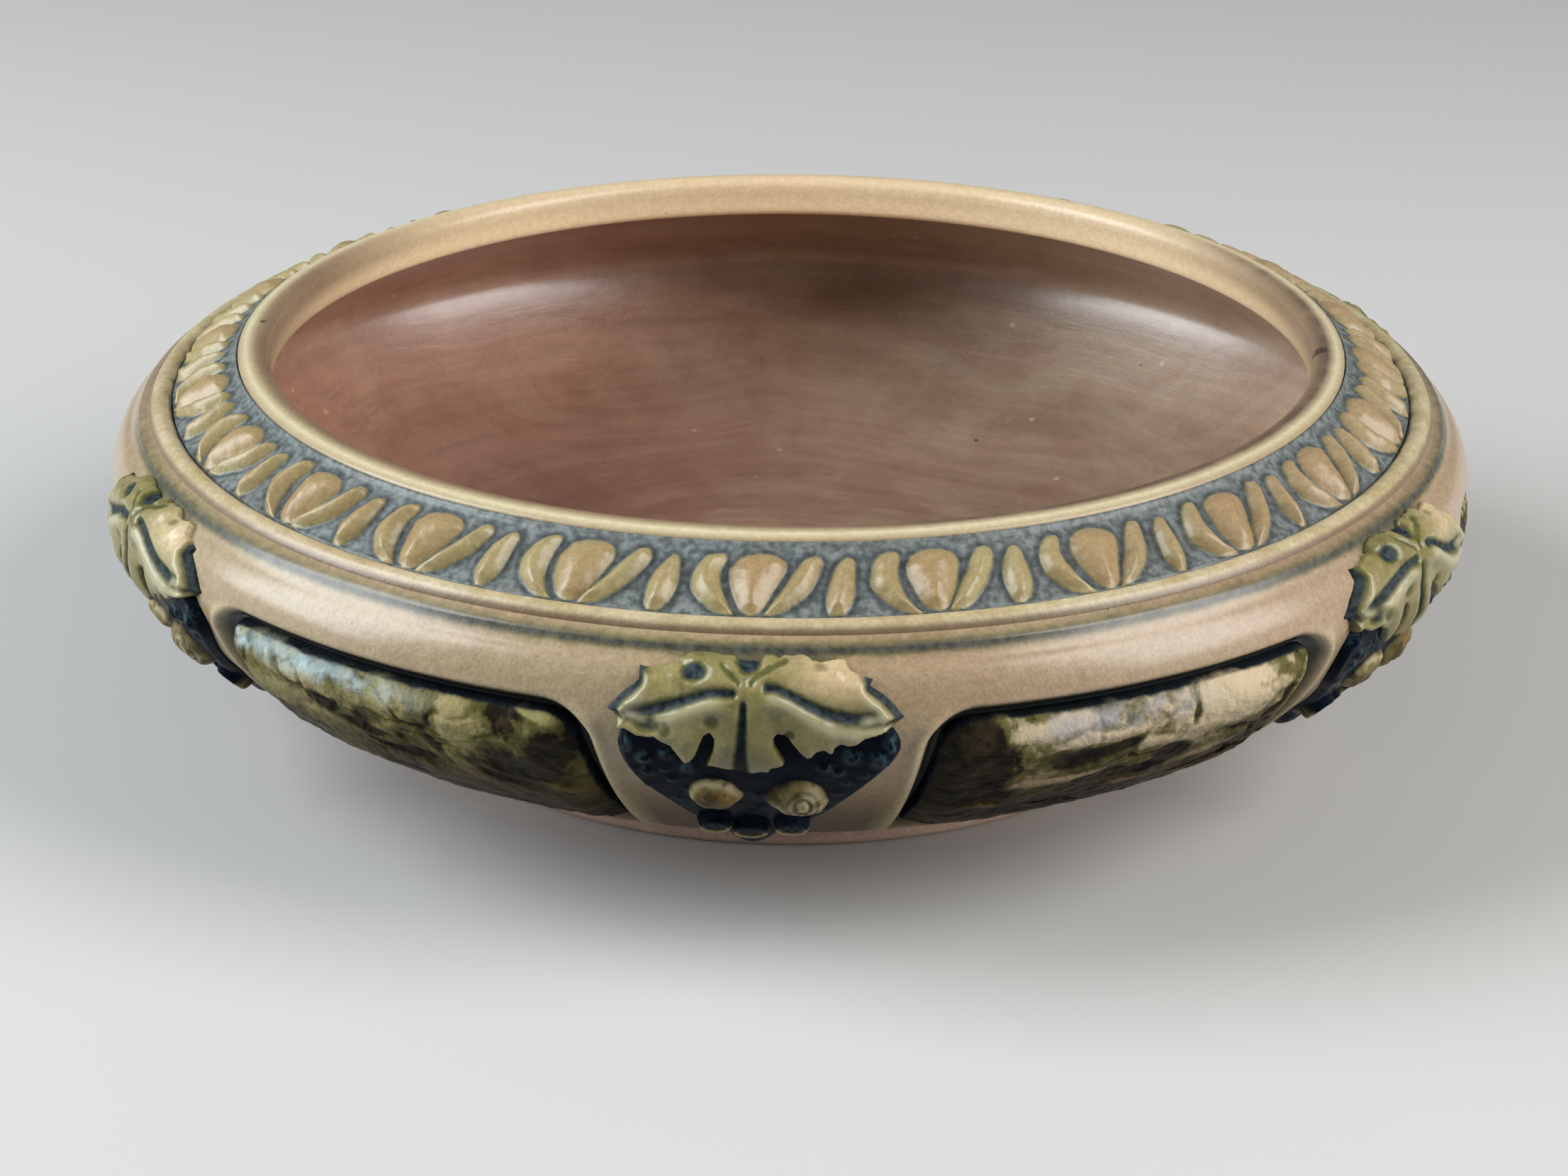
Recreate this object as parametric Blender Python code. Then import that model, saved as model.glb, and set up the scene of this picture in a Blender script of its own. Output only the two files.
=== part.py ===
"""A shallow centrepiece bowl in glazed ceramic, in metres, with +Z up.

The bowl stands on a turned foot whose underside is at z = 0, and the turning axis is +Z. A sprig of vine
leaf and grapes is repeated six times round the wall, the first one facing -Y, with a bark panel between
each two. Above the wall are a bead, a sloping egg-and-dart band and a rolled lip.

The wall is one curve. A place on it is given by the distance along it from the base, the distance sideways
round it, and the lift off it, so every piece of relief follows the wall when the wall changes.
"""

from math import atan2, cos, degrees, hypot, pi, radians, sin, sqrt, tau

import bmesh
import bpy
import numpy as np
from mathutils import Matrix

MM = 0.001
GAP = 0.3 * MM  # clearance between neighbouring pieces

# Repeats round the bowl
SPRIGS = 6
EGGS_PER_SPRIG = 4
FACETS_PER_EGG = 3
FACETS = SPRIGS * EGGS_PER_SPRIG * FACETS_PER_EGG

# Foot
FOOT_RADIUS = 75 * MM
FOOT_WIDTH = 8.5 * MM
FOOT_HEIGHT = 8 * MM
FOOT_EDGE = 0.8 * MM  # its eased outer edge

# Body
FOOT_INSET = 5 * MM  # from where the wall starts to the foot's outer side
WIDEST_HEIGHT = 48 * MM
WALL = 6 * MM
FLOOR_THICKNESS = 6.2 * MM
FLOOR_INSET = 7 * MM  # from where the wall starts in to the edge of the inside floor
INSIDE_DROP = 1 * MM  # of the inside's widest ring below the outside's
WALL_FULLNESS = 1.48  # 1 is a cone, 2 an ellipse
UNDERCUT_FULLNESS = 1.2
WALL_FACETS = 7  # straight steps up the wall outside and inside, and over the shoulder and under it
INSIDE_FACETS = 5
SHOULDER_FACETS = 2
UNDERCUT_FACETS = 3

# Shoulder, from the bead out to the widest ring
GROOVE_WIDTH = 1.8 * MM
GROOVE_DEPTH = 0.9 * MM
SHOULDER_BULGE = 6 * MM
SHOULDER_RISE = 10.2 * MM

# Bead round the lower edge of the band
BEAD_WIDTH = 3.8 * MM
BEAD_PROUD = 1.3 * MM
BEAD_RISE = 3.8 * MM  # from the shoulder to the lower edge of the band
BEAD_FALL = 1.3 * MM  # from there down to where its outer side turns upright

# Egg-and-dart band
BAND_RUN = 12.2 * MM  # its width in plan
BAND_RISE = 7.8 * MM
BAND_THICKNESS = 2.6 * MM
BAND_MARGIN = 1.1 * MM  # plain ground above and below the eggs
EGG_WIDTH = 8.4 * MM
HUSK_WIDTH = 4.2 * MM
DART_WIDTH = 4.4 * MM
RELIEF_HEIGHT = 2 * MM
RELIEF_SINK = 0.8 * MM  # how deep the eggs, husks and darts are bedded in the band
EGG_SECTION = [
    (-1, -RELIEF_SINK), (-0.86, 0.45 * RELIEF_HEIGHT), (0, RELIEF_HEIGHT), (0.86, 0.45 * RELIEF_HEIGHT),
    (1, -RELIEF_SINK),
]  # fmt: skip
RIDGE_SECTION = [(-1.15, -RELIEF_SINK), (0, RELIEF_HEIGHT), (1.15, -RELIEF_SINK)]

# Rolled lip round the mouth
MOUTH_RADIUS = 97.3 * MM
LIP_WIDTH = 5.7 * MM
LIP_DEPTH = 8.3 * MM
LIP_ROLL = 1.5 * MM  # height of its rounded top
LIP_FACETS = 3  # straight steps over its top

# Bark panels, sunk between the sprigs
PILASTER_TOP = 30.5 * MM  # half of the plain wall's width between two panels, at their top
PILASTER_BOTTOM = 21 * MM
PANEL_DROP = 11 * MM  # down the wall from its top to the panel
PANEL_RISE = 20 * MM  # up the wall from its base to the panel
PANEL_DEPTH = 3 * MM
PANEL_CORNER = 8 * MM
PANEL_CORNER_LEAST = 2 * MM
PANEL_BEVEL = 0.8 * MM
PANEL_GROOVE = 2.2 * MM  # open groove round the bark
BARK_CROWN = 1.6 * MM  # how far the bark stands out past the wall
BARK_EDGE = 1.2 * MM  # how far its rim stays below the wall
BARK_LUMP = 0.5 * MM
BARK_FOLDS = (9.1, 4.3, 5.2, -6.7)  # how fast its lumps change across and up
PANEL_COLUMNS = 9  # points across and up each panel
PANEL_ROWS = 8
PANEL_CROWDING = 1.5  # 1 spaces the rows evenly, more draws them together at the rounded top
CUTTER_RISE = 3 * MM  # how far a panel's cutter stands out of the wall

# Vine sprigs: a mound that carries the grapes, with a leaf lying on it. Drops are measured down the wall
RELIEF_BED = 0.9 * MM  # clearance under a sprig, whose flat facets cut across the wall's curve
MOUND_THICKNESS = 0.8 * MM
MOUND_DROP = 22 * MM  # to its middle
LEAF_HUB_DROP = 8 * MM
LEAF_HUB_SIDE = -2.3 * MM  # the veins meet a little left of the sprig's middle
LEAF_BED = 0.5 * MM  # clearance under a leaf, and beside it
LEAF_THICKNESS = 1 * MM
LEAF_PUFF = 0.9 * MM
GRAPE_RADIUS = 2.9 * MM
GRAPE_GAP = 0.3 * MM  # between one grape and the next
FRUIT_RADIUS = 4.4 * MM
FRUIT_SIDE = 6.6 * MM
GRAPE_SIDES = 6
GRAPE_TWIST = 0.3  # share of a side by which its corners are turned off the mound's edges
GRAPE_DOME = (0.85, 0.65)  # a grape's second ring of points, as shares of its radius out and up

# Outlines as (direction in degrees from the right, reach), anticlockwise
LEAF_OUTLINE = [
    (-8, 26.3 * MM), (0, 23.9 * MM), (9, 21.7 * MM), (16, 17.7 * MM), (22, 16 * MM), (43, 9.6 * MM),
    (86, 4.4 * MM), (128, 8.3 * MM), (147, 11.6 * MM), (160, 16.8 * MM), (166, 17.6 * MM), (185, 22 * MM),
    (190, 22.6 * MM), (194, 20.2 * MM), (203, 17.1 * MM), (216, 13.8 * MM), (229, 15.6 * MM),
    (239, 8.8 * MM), (248, 13.6 * MM), (262, 14.7 * MM), (276, 15 * MM), (292, 14.6 * MM),
    (305, 8.9 * MM), (318, 15.7 * MM), (332, 18 * MM), (344, 22.3 * MM),
]  # fmt: skip
HALF_MOUND_OUTLINE = [
    (-90, 28 * MM), (-66, 20 * MM), (-40, 18 * MM), (-16, 20.5 * MM), (12, 23 * MM), (30, 23 * MM),
    (48, 23.5 * MM), (66, 22 * MM), (90, 18 * MM),
]  # fmt: skip

# Heights and radii that follow from the sizes above
BODY_BOTTOM = FOOT_HEIGHT + GAP
BASE_RADIUS = FOOT_RADIUS + FOOT_INSET
FLOOR_HEIGHT = BODY_BOTTOM + FLOOR_THICKNESS
LIP_OUTER = MOUTH_RADIUS + LIP_WIDTH
BAND_INNER = LIP_OUTER + GAP
BAND_OUTER = BAND_INNER + BAND_RUN
BEAD_INNER = BAND_OUTER + GAP
BEAD_OUTER = BEAD_INNER + BEAD_WIDTH
SHOULDER_RADIUS = BEAD_OUTER + GROOVE_WIDTH
WIDEST_RADIUS = SHOULDER_RADIUS + SHOULDER_BULGE
SHOULDER_HEIGHT = WIDEST_HEIGHT + SHOULDER_RISE
BAND_FOOT = SHOULDER_HEIGHT + BEAD_RISE
BAND_TOP = BAND_FOOT + BAND_RISE
LIP_BOTTOM = BAND_TOP + LIP_ROLL - LIP_DEPTH
LEDGE_HEIGHT = LIP_BOTTOM - GAP
SLOPE_LENGTH = hypot(BAND_RUN, BAND_RISE)
SEAT_DROP = (BAND_THICKNESS + GAP) * SLOPE_LENGTH / BAND_RUN
EGG_PITCH = tau / (SPRIGS * EGGS_PER_SPRIG)
SPRIG_PITCH = tau / SPRIGS
GRAPE_SPACING = 2 * GRAPE_RADIUS + GRAPE_GAP
FRONT = -pi / 2


def quarter(start, end, fullness, steps):
    """A rounded quarter from start, where it runs upright, to end, where it lies flat, without its start."""
    points = []
    for step in range(1, steps + 1):
        turn = pi / 2 * step / steps
        across = 1 - cos(turn) ** (2 / fullness)
        along = sin(turn) ** (2 / fullness)
        points.append((start[0] + (end[0] - start[0]) * across, start[1] + (end[1] - start[1]) * along))
    return points


def outer_wall(lower_steps, upper_steps):
    """The wall's outline from the top of its shoulder, over its widest ring, down to the base."""
    shoulder = (SHOULDER_RADIUS, SHOULDER_HEIGHT)
    widest = (WIDEST_RADIUS, WIDEST_HEIGHT)
    rise = quarter(widest, shoulder, 2, upper_steps)
    fall = quarter(widest, (BASE_RADIUS, BODY_BOTTOM), WALL_FULLNESS, lower_steps)
    return rise[::-1] + [widest] + fall


WALL_CURVE = np.array(outer_wall(160, 60)[::-1])
WALL_STEPS = np.hypot(*np.diff(WALL_CURVE, axis=0).T)
WALL_ALONG = np.concatenate([[0], np.cumsum(WALL_STEPS)])
WALL_TANGENT = np.gradient(WALL_CURVE, WALL_ALONG, axis=0)
WALL_LENGTH = float(WALL_ALONG[-1])

# Places on the wall as (sideways from the sprig's middle, along the wall)
MOUND_MIDDLE = (0, WALL_LENGTH - MOUND_DROP)
LEAF_HUB = (LEAF_HUB_SIDE, WALL_LENGTH - LEAF_HUB_DROP)
MOUND_RINGS = (0.3, 0.54, 0.77, 1)  # shares of an outline's reach at which a slab has rings of points
LEAF_RINGS = (0.38, 0.7, 1)
LEAF_DROP = max(-reach * sin(radians(turn)) for turn, reach in LEAF_OUTLINE)
FRUIT_ALONG = LEAF_HUB[1] - LEAF_DROP - FRUIT_RADIUS - LEAF_BED


def wall_radius(along):
    return np.interp(along, WALL_ALONG, WALL_CURVE[:, 0])


def on_wall(angle, along, lift):
    """Points at an angle round the bowl from its front, a distance along the wall and a lift off it."""
    radius = wall_radius(along)
    height = np.interp(along, WALL_ALONG, WALL_CURVE[:, 1])
    tangent_radius = np.interp(along, WALL_ALONG, WALL_TANGENT[:, 0])
    tangent_height = np.interp(along, WALL_ALONG, WALL_TANGENT[:, 1])
    length = np.hypot(tangent_radius, tangent_height)
    out = radius + lift * tangent_height / length
    up = height - lift * tangent_radius / length
    return np.stack([out * np.cos(angle + FRONT), out * np.sin(angle + FRONT), up], axis=-1)


def on_band(angle, side, down, lift):
    """A point of the band's cone: sideways from an angle, down the slope from its top edge, and off it."""
    radius = BAND_INNER + down * BAND_RUN / SLOPE_LENGTH
    out = radius + lift * BAND_RISE / SLOPE_LENGTH
    up = BAND_TOP - down * BAND_RISE / SLOPE_LENGTH + lift * BAND_RUN / SLOPE_LENGTH
    turn = angle + side / radius + FRONT
    return (out * cos(turn), out * sin(turn), up)


def glaze(name, colour, roughness):
    """A fired glaze: a plain dielectric of one colour."""
    material = bpy.data.materials.new(name)
    material.use_nodes = True
    shader = material.node_tree.nodes["Principled BSDF"]
    shader.inputs["Base Color"].default_value = (*colour, 1)
    shader.inputs["Roughness"].default_value = roughness
    shader.inputs["Metallic"].default_value = 0
    return material


def add_object(name, mesh, material):
    piece = bpy.data.objects.new(name, mesh)
    bpy.context.scene.collection.objects.link(piece)
    if material:
        mesh.materials.append(material)
        mesh.shade_smooth()
        mesh.set_sharp_from_angle(angle=radians(40))
    return piece


def turned(name, profile, material):
    """A piece turned about +Z from (radius, height) points that run down its outer side."""
    closing = [(len(profile) - 1, 0)] if profile[0][0] > 0 else []
    edges = [(i, i + 1) for i in range(len(profile) - 1)] + closing
    mesh = bpy.data.meshes.new(name)
    mesh.from_pydata([(radius, 0, height) for radius, height in profile], edges, [])
    piece = add_object(name, mesh, material)
    screw = piece.modifiers.new("turning", "SCREW")
    screw.steps = FACETS
    screw.render_steps = FACETS
    screw.use_merge_vertices = True
    screw.merge_threshold = 0.01 * MM
    return piece


def boolean(piece, operation, other):
    """Joins or cuts with another object, which stays in the scene as a hidden helper."""
    other.hide_render = True
    other.display_type = "WIRE"
    modifier = piece.modifiers.new(other.name, "BOOLEAN")
    modifier.operation = operation
    modifier.object = other


def settled(piece):
    """The object's mesh with its modifiers worked out, for copies that share it."""
    graph = bpy.context.evaluated_depsgraph_get()
    return bpy.data.meshes.new_from_object(piece.evaluated_get(graph), depsgraph=graph)


def repeated(name, mesh, material, first_turn):
    """One object for each sixth of the bowl, all sharing a mesh, turned about the bowl's axis."""
    for number in range(SPRIGS):
        piece = bpy.data.objects.new(f"{name}_{number + 1}", mesh)
        piece.matrix_world = Matrix.Rotation(first_turn + number * SPRIG_PITCH, 4, "Z")
        bpy.context.scene.collection.objects.link(piece)
    mesh.materials.clear()
    mesh.materials.append(material)
    mesh.shade_smooth()
    mesh.set_sharp_from_angle(angle=radians(40))


def face_outward(bm):
    """Turns all faces of the closed shells to look out."""
    bmesh.ops.recalc_face_normals(bm, faces=bm.faces)
    if bm.calc_volume(signed=True) < 0:
        bmesh.ops.reverse_faces(bm, faces=bm.faces)


def grid_slab(name, outer, inner):
    """A closed slab between two grids of points of the same rows and columns."""
    rows, columns = outer.shape[:2]
    mesh = bpy.data.meshes.new(name)
    bm = bmesh.new()
    skins = [[[bm.verts.new(point) for point in row] for row in grid] for grid in (outer, inner)]
    for skin in skins:
        for i in range(rows - 1):
            for j in range(columns - 1):
                bm.faces.new([skin[i][j], skin[i][j + 1], skin[i + 1][j + 1], skin[i + 1][j]])
    rim = [(0, j) for j in range(columns - 1)] + [(i, columns - 1) for i in range(rows - 1)]
    rim += [(rows - 1, j) for j in range(columns - 1, 0, -1)] + [(i, 0) for i in range(rows - 1, 0, -1)]
    for (i, j), (k, m) in zip(rim, rim[1:] + rim[:1]):
        bm.faces.new([skins[0][i][j], skins[1][i][j], skins[1][k][m], skins[0][k][m]])
    face_outward(bm)
    bm.to_mesh(mesh)
    bm.free()
    return mesh


def star_slab(name, outline, centre, shares, top_lift, bottom_lift):
    """A closed slab on the wall, spread from a centre in rings that are shares of its outline.

    centre is (side, along). Each lift is a function of the direction and of the share of the reach.
    """
    mesh = bpy.data.meshes.new(name)
    bm = bmesh.new()

    def vertex(direction, reach, share, lift):
        side = centre[0] + reach * share * cos(radians(direction))
        along = centre[1] + reach * share * sin(radians(direction))
        angle = side / float(wall_radius(along))
        return bm.verts.new(on_wall(angle, along, lift(direction, share)))

    edges = []
    for lift in (top_lift, bottom_lift):
        hub = vertex(0, 0, 0, lift)
        rings = [[vertex(direction, reach, share, lift) for direction, reach in outline] for share in shares]
        for i in range(len(outline)):
            j = (i + 1) % len(outline)
            bm.faces.new([hub, rings[0][i], rings[0][j]])
            for low, high in zip(rings, rings[1:]):
                bm.faces.new([low[i], high[i], high[j], low[j]])
        edges.append(rings[-1])
    for i in range(len(outline)):
        j = (i + 1) % len(outline)
        bm.faces.new([edges[0][i], edges[1][i], edges[1][j], edges[0][j]])
    face_outward(bm)
    bm.to_mesh(mesh)
    bm.free()
    return mesh


def build_foot():
    """The foot: a plain ring, flat below, with its outer edge eased."""
    inner = FOOT_RADIUS - FOOT_WIDTH
    profile = [
        (FOOT_RADIUS, FOOT_HEIGHT),
        (FOOT_RADIUS, FOOT_EDGE),
        (FOOT_RADIUS - FOOT_EDGE, 0),
        (inner, 0),
        (inner, FOOT_HEIGHT),
    ]
    turned("foot_ring", profile, glaze("foot_glaze", (0.56, 0.33, 0.21), 0.45))


def build_body():
    """The bowl itself: a turned wall with an undercut shoulder, seats for the trims, and six sunk panels."""
    inner_widest = (WIDEST_RADIUS - WALL, WIDEST_HEIGHT - INSIDE_DROP)
    neck = (MOUTH_RADIUS, LEDGE_HEIGHT)
    floor_edge = (BASE_RADIUS - FLOOR_INSET, FLOOR_HEIGHT)
    inside = quarter(inner_widest, floor_edge, WALL_FULLNESS, INSIDE_FACETS)[::-1] + [inner_widest]
    inside += quarter(inner_widest, neck, UNDERCUT_FULLNESS, UNDERCUT_FACETS)
    seat_inner = (LIP_OUTER + GAP, seat_height(LIP_OUTER + GAP))
    seat_outer = (BEAD_OUTER + GAP, seat_height(BEAD_OUTER + GAP))
    groove = (BEAD_OUTER + GAP, SHOULDER_HEIGHT - GROOVE_DEPTH)
    outside = [(LIP_OUTER + GAP, LEDGE_HEIGHT), seat_inner, seat_outer, groove]
    outside += outer_wall(WALL_FACETS, SHOULDER_FACETS)
    profile = [(0, FLOOR_HEIGHT)] + inside + outside + [(0, BODY_BOTTOM)]
    body = turned("bowl_body", profile, glaze("body_glaze", (0.60, 0.38, 0.20), 0.4))
    for number in range(SPRIGS):
        turn = (number + 0.5) * SPRIG_PITCH
        mouth = panel_grid(0, turn, CUTTER_RISE)
        floor = panel_grid(PANEL_BEVEL, turn, -PANEL_DEPTH)
        cutter = add_object(f"panel_cutter_{number + 1}", grid_slab("panel_cutter", mouth, floor), None)
        boolean(body, "DIFFERENCE", cutter)


def seat_height(radius):
    """The height of the cone on which the band and the bead are bedded, at a radius."""
    return BAND_TOP - (radius - BAND_INNER) * BAND_RISE / BAND_RUN - SEAT_DROP


def panel_grid(inset, turn, lift):
    """A grid of points over one panel, drawn in by an inset, its upper corners rounded."""
    bottom = PANEL_RISE + inset
    top = WALL_LENGTH - PANEL_DROP - inset
    corner = max(PANEL_CORNER - inset, PANEL_CORNER_LEAST)
    share = 1 - (1 - np.linspace(0, 1, PANEL_ROWS)) ** PANEL_CROWDING
    along = bottom + (top - bottom) * share
    radius = wall_radius(along)
    pilaster = PILASTER_BOTTOM + (PILASTER_TOP - PILASTER_BOTTOM) * share
    reach = np.clip(along - (top - corner), 0, corner)
    rounding = corner - np.sqrt(corner**2 - reach**2)
    half_width = SPRIG_PITCH / 2 - (pilaster + inset + rounding) / radius
    angle = turn + half_width[:, None] * np.linspace(-1, 1, PANEL_COLUMNS)[None, :]
    return on_wall(angle, along[:, None] + 0 * angle, lift)


def build_bark_panels():
    """The six bark panels: pillows with a lumpy face, each lying in its sunk panel with a groove round it."""
    inset = PANEL_BEVEL + PANEL_GROOVE
    across = np.linspace(-1, 1, PANEL_COLUMNS)[None, :]
    up = np.linspace(-1, 1, PANEL_ROWS)[:, None]
    crown = (1 - across**6) * (1 - up**6)
    a, b, c, d = BARK_FOLDS
    lumps = np.sin(a * across + b * up) * np.cos(c * up + d * across)
    lift = -BARK_EDGE + (BARK_EDGE + BARK_CROWN + BARK_LUMP * lumps) * crown
    outer = panel_grid(inset, 0, lift)
    inner = panel_grid(inset, 0, GAP - PANEL_DEPTH)
    mesh = grid_slab("bark_panel", outer, inner)
    repeated("bark_panel", mesh, glaze("bark_glaze", (0.30, 0.24, 0.12), 0.4), SPRIG_PITCH / 2)


def build_band():
    """The egg-and-dart band: a sloping ring with its eggs, husks and darts bedded in it."""
    drop = BAND_THICKNESS * SLOPE_LENGTH / BAND_RUN
    profile = [
        (BAND_INNER, BAND_TOP),
        (BAND_OUTER, BAND_FOOT),
        (BAND_OUTER, BAND_FOOT - drop),
        (BAND_INNER, BAND_TOP - drop),
    ]
    band = turned("egg_and_dart_band", profile, glaze("band_glaze", (0.58, 0.38, 0.17), 0.4))
    channel = (EGG_PITCH * BAND_OUTER - EGG_WIDTH - 2 * HUSK_WIDTH - DART_WIDTH) / 4
    husk_side = EGG_WIDTH / 2 + channel + HUSK_WIDTH / 2
    bm = bmesh.new()
    for number in range(SPRIGS * EGGS_PER_SPRIG):
        angle = number * EGG_PITCH
        add_pebble(bm, angle, 0, 0, EGG_WIDTH, (1, 0.78), EGG_SECTION)
        for hand in (-1, 1):
            add_pebble(bm, angle, hand * husk_side, -hand * channel, HUSK_WIDTH, (1,), RIDGE_SECTION)
        add_pebble(bm, angle + EGG_PITCH / 2, 0, 0, DART_WIDTH, (1,), RIDGE_SECTION)
    face_outward(bm)
    mesh = bpy.data.meshes.new("relief")
    bm.to_mesh(mesh)
    bm.free()
    boolean(band, "UNION", add_object("relief", mesh, None))


def add_pebble(bm, angle, side, bend, width, shares, section):
    """One rounded piece of the band's relief, running down the slope, narrowed to a point at both ends.

    shares are its widths at even steps along it, as shares of the full width. section is its outline
    across, as (share of the half width, lift). bend moves its middle out and its lower end in.
    """
    length = SLOPE_LENGTH - 2 * BAND_MARGIN

    def place(share, across, lift):
        """Sideways places close up towards the mouth, as the band's circle gets smaller."""
        down = BAND_MARGIN + share * length
        closing = (BAND_INNER + down * BAND_RUN / SLOPE_LENGTH) / BAND_OUTER
        sideways = side * closing + bend * (share**2 - 0.3) + across
        return bm.verts.new(on_band(angle, sideways, down, lift))

    rings = []
    for number, part in enumerate(shares):
        share = (number + 0.7) / (len(shares) + 0.4)
        rings.append([place(share, width / 2 * part * x, lift) for x, lift in section])
    count = len(section)
    for low, high in zip(rings, rings[1:]):
        for i in range(count):
            bm.faces.new([low[i], low[(i + 1) % count], high[(i + 1) % count], high[i]])
    for ring, share in ((rings[0], 0), (rings[-1], 1)):
        tip = place(share, 0, RELIEF_HEIGHT / 10)
        toe = place(share, 0, -RELIEF_SINK)
        for i in range(count - 1):
            bm.faces.new([ring[i], ring[i + 1], tip])
        bm.faces.new([ring[0], tip, toe])
        bm.faces.new([ring[-1], toe, tip])
        bm.faces.new([ring[-1], ring[0], toe])


def build_bead():
    """The bead: a half-round ring that closes the lower edge of the band."""
    middle = (BEAD_INNER + BEAD_OUTER) / 2
    profile = [
        (BEAD_INNER, seat_height(BEAD_INNER) + GAP),
        (BEAD_INNER, BAND_FOOT),
        (middle, BAND_FOOT + BEAD_PROUD),
        (BEAD_OUTER, BAND_FOOT - BEAD_FALL),
        (BEAD_OUTER, seat_height(BEAD_OUTER) + GAP),
    ]
    turned("shoulder_bead", profile, glaze("bead_glaze", (0.62, 0.42, 0.18), 0.35))


def build_lip():
    """The lip: an upright ring round the mouth with a rolled top."""
    rolled = []
    for step in range(LIP_FACETS + 1):
        turn = pi * (1 - step / LIP_FACETS)
        rolled.append((MOUTH_RADIUS + LIP_WIDTH * (1 + cos(turn)) / 2, BAND_TOP + LIP_ROLL * sin(turn)))
    profile = [(MOUTH_RADIUS, LIP_BOTTOM)] + rolled + [(LIP_OUTER, LIP_BOTTOM)]
    turned("rim_lip", profile, glaze("lip_glaze", (0.62, 0.42, 0.20), 0.35))


def build_sprigs():
    """The vine sprigs. Each is a mound with grapes and two fruits, under a lobed leaf."""
    mound_top = RELIEF_BED + MOUND_THICKNESS
    leaf_back = mound_top + LEAF_BED
    outline = HALF_MOUND_OUTLINE + [(180 - turn, reach) for turn, reach in HALF_MOUND_OUTLINE[-2:0:-1]]
    mound_lifts = (lambda *_: mound_top, lambda *_: RELIEF_BED)
    mound = star_slab("mound", outline, MOUND_MIDDLE, MOUND_RINGS, *mound_lifts)
    cluster = add_object("cluster_master", mound, None)
    boolean(cluster, "UNION", add_object("grapes", grapes(), None))
    repeated("grape_cluster", settled(cluster), glaze("grape_glaze", (0.03, 0.05, 0.10), 0.3), 0)
    cluster.hide_render = True
    cluster.display_type = "WIRE"

    def leaf_face(direction, share):
        """Puffed between the five main veins, and thinner at its edge."""
        lobes = abs(sin(radians(direction * 2.5 + 20)))
        return leaf_back + LEAF_THICKNESS + LEAF_PUFF * lobes * sin(pi * min(share * 1.1, 1))

    leaf = star_slab("vine_leaf", LEAF_OUTLINE, LEAF_HUB, LEAF_RINGS, leaf_face, lambda *_: leaf_back)
    repeated("vine_leaf", leaf, glaze("leaf_glaze", (0.36, 0.34, 0.10), 0.35), 0)


def leaf_covers(side, along):
    """How far inside the leaf's outline a place lies, measured towards the hub."""
    across, up = side - LEAF_HUB[0], along - LEAF_HUB[1]
    turns, reaches = zip(*LEAF_OUTLINE)
    return float(np.interp(degrees(atan2(up, across)), turns, reaches, period=360)) - hypot(across, up)


def grapes():
    """The grapes in rows across the mound, one row nesting in the next, and the two larger fruits."""
    mesh = bpy.data.meshes.new("grapes")
    bm = bmesh.new()
    fruits = [(-FRUIT_SIDE, FRUIT_ALONG), (FRUIT_SIDE, FRUIT_ALONG)]
    lower = HALF_MOUND_OUTLINE[:5]  # the half outline up to its widest place
    edge = np.array([(reach * cos(radians(turn)), reach * sin(radians(turn))) for turn, reach in lower])
    apart = FRUIT_RADIUS + GRAPE_RADIUS + GRAPE_GAP
    places = []
    row = 0
    along = MOUND_MIDDLE[1] - HALF_MOUND_OUTLINE[0][1] + GRAPE_RADIUS
    while along < LEAF_HUB[1]:
        width = float(np.interp(along - MOUND_MIDDLE[1], edge[:, 1], edge[:, 0])) - GRAPE_RADIUS
        side = (row % 2) * GRAPE_SPACING / 2
        while side <= max(width, 0):
            places += sorted({(side, along), (-side, along)})
            side += GRAPE_SPACING
        row += 1
        along += GRAPE_SPACING * sqrt(0.75)
    for place in places:
        beside_fruit = all(hypot(place[0] - x, place[1] - y) > apart for x, y in fruits)
        if beside_fruit and leaf_covers(*place) < -GRAPE_RADIUS - LEAF_BED:
            add_grape(bm, place, GRAPE_RADIUS)
    for place in fruits:
        add_grape(bm, place, FRUIT_RADIUS)
    face_outward(bm)
    bm.to_mesh(mesh)
    bm.free()
    return mesh


def add_grape(bm, place, radius):
    """A domed grape bedded deep in the mound, whose flat facets dip where the wall bends."""
    side, along = place
    bed = RELIEF_BED + MOUND_THICKNESS / 8
    middle = RELIEF_BED + MOUND_THICKNESS / 2
    rings = []
    for share, lift in ((1, bed), (GRAPE_DOME[0], middle + radius * GRAPE_DOME[1])):
        ring = []
        for step in range(GRAPE_SIDES):
            turn = tau * (step + GRAPE_TWIST) / GRAPE_SIDES
            up = along + radius * share * cos(turn)
            angle = (side + radius * share * sin(turn)) / float(wall_radius(along))
            ring.append(bm.verts.new(on_wall(angle, up, lift)))
        rings.append(ring)
    tip = bm.verts.new(on_wall(side / float(wall_radius(along)), along, middle + radius))
    bm.faces.new(rings[0])
    for step in range(GRAPE_SIDES):
        after = (step + 1) % GRAPE_SIDES
        for low, high in zip(rings, rings[1:]):
            bm.faces.new([low[step], low[after], high[after], high[step]])
        bm.faces.new([rings[-1][step], rings[-1][after], tip])


def main():
    for old in list(bpy.data.objects):
        bpy.data.objects.remove(old)
    build_foot()
    build_body()
    build_bead()
    build_band()
    build_lip()
    build_bark_panels()
    build_sprigs()


main()
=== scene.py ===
from math import cos, radians, sin, tau

import bpy
import numpy as np
from mathutils import Matrix, Vector


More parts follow.
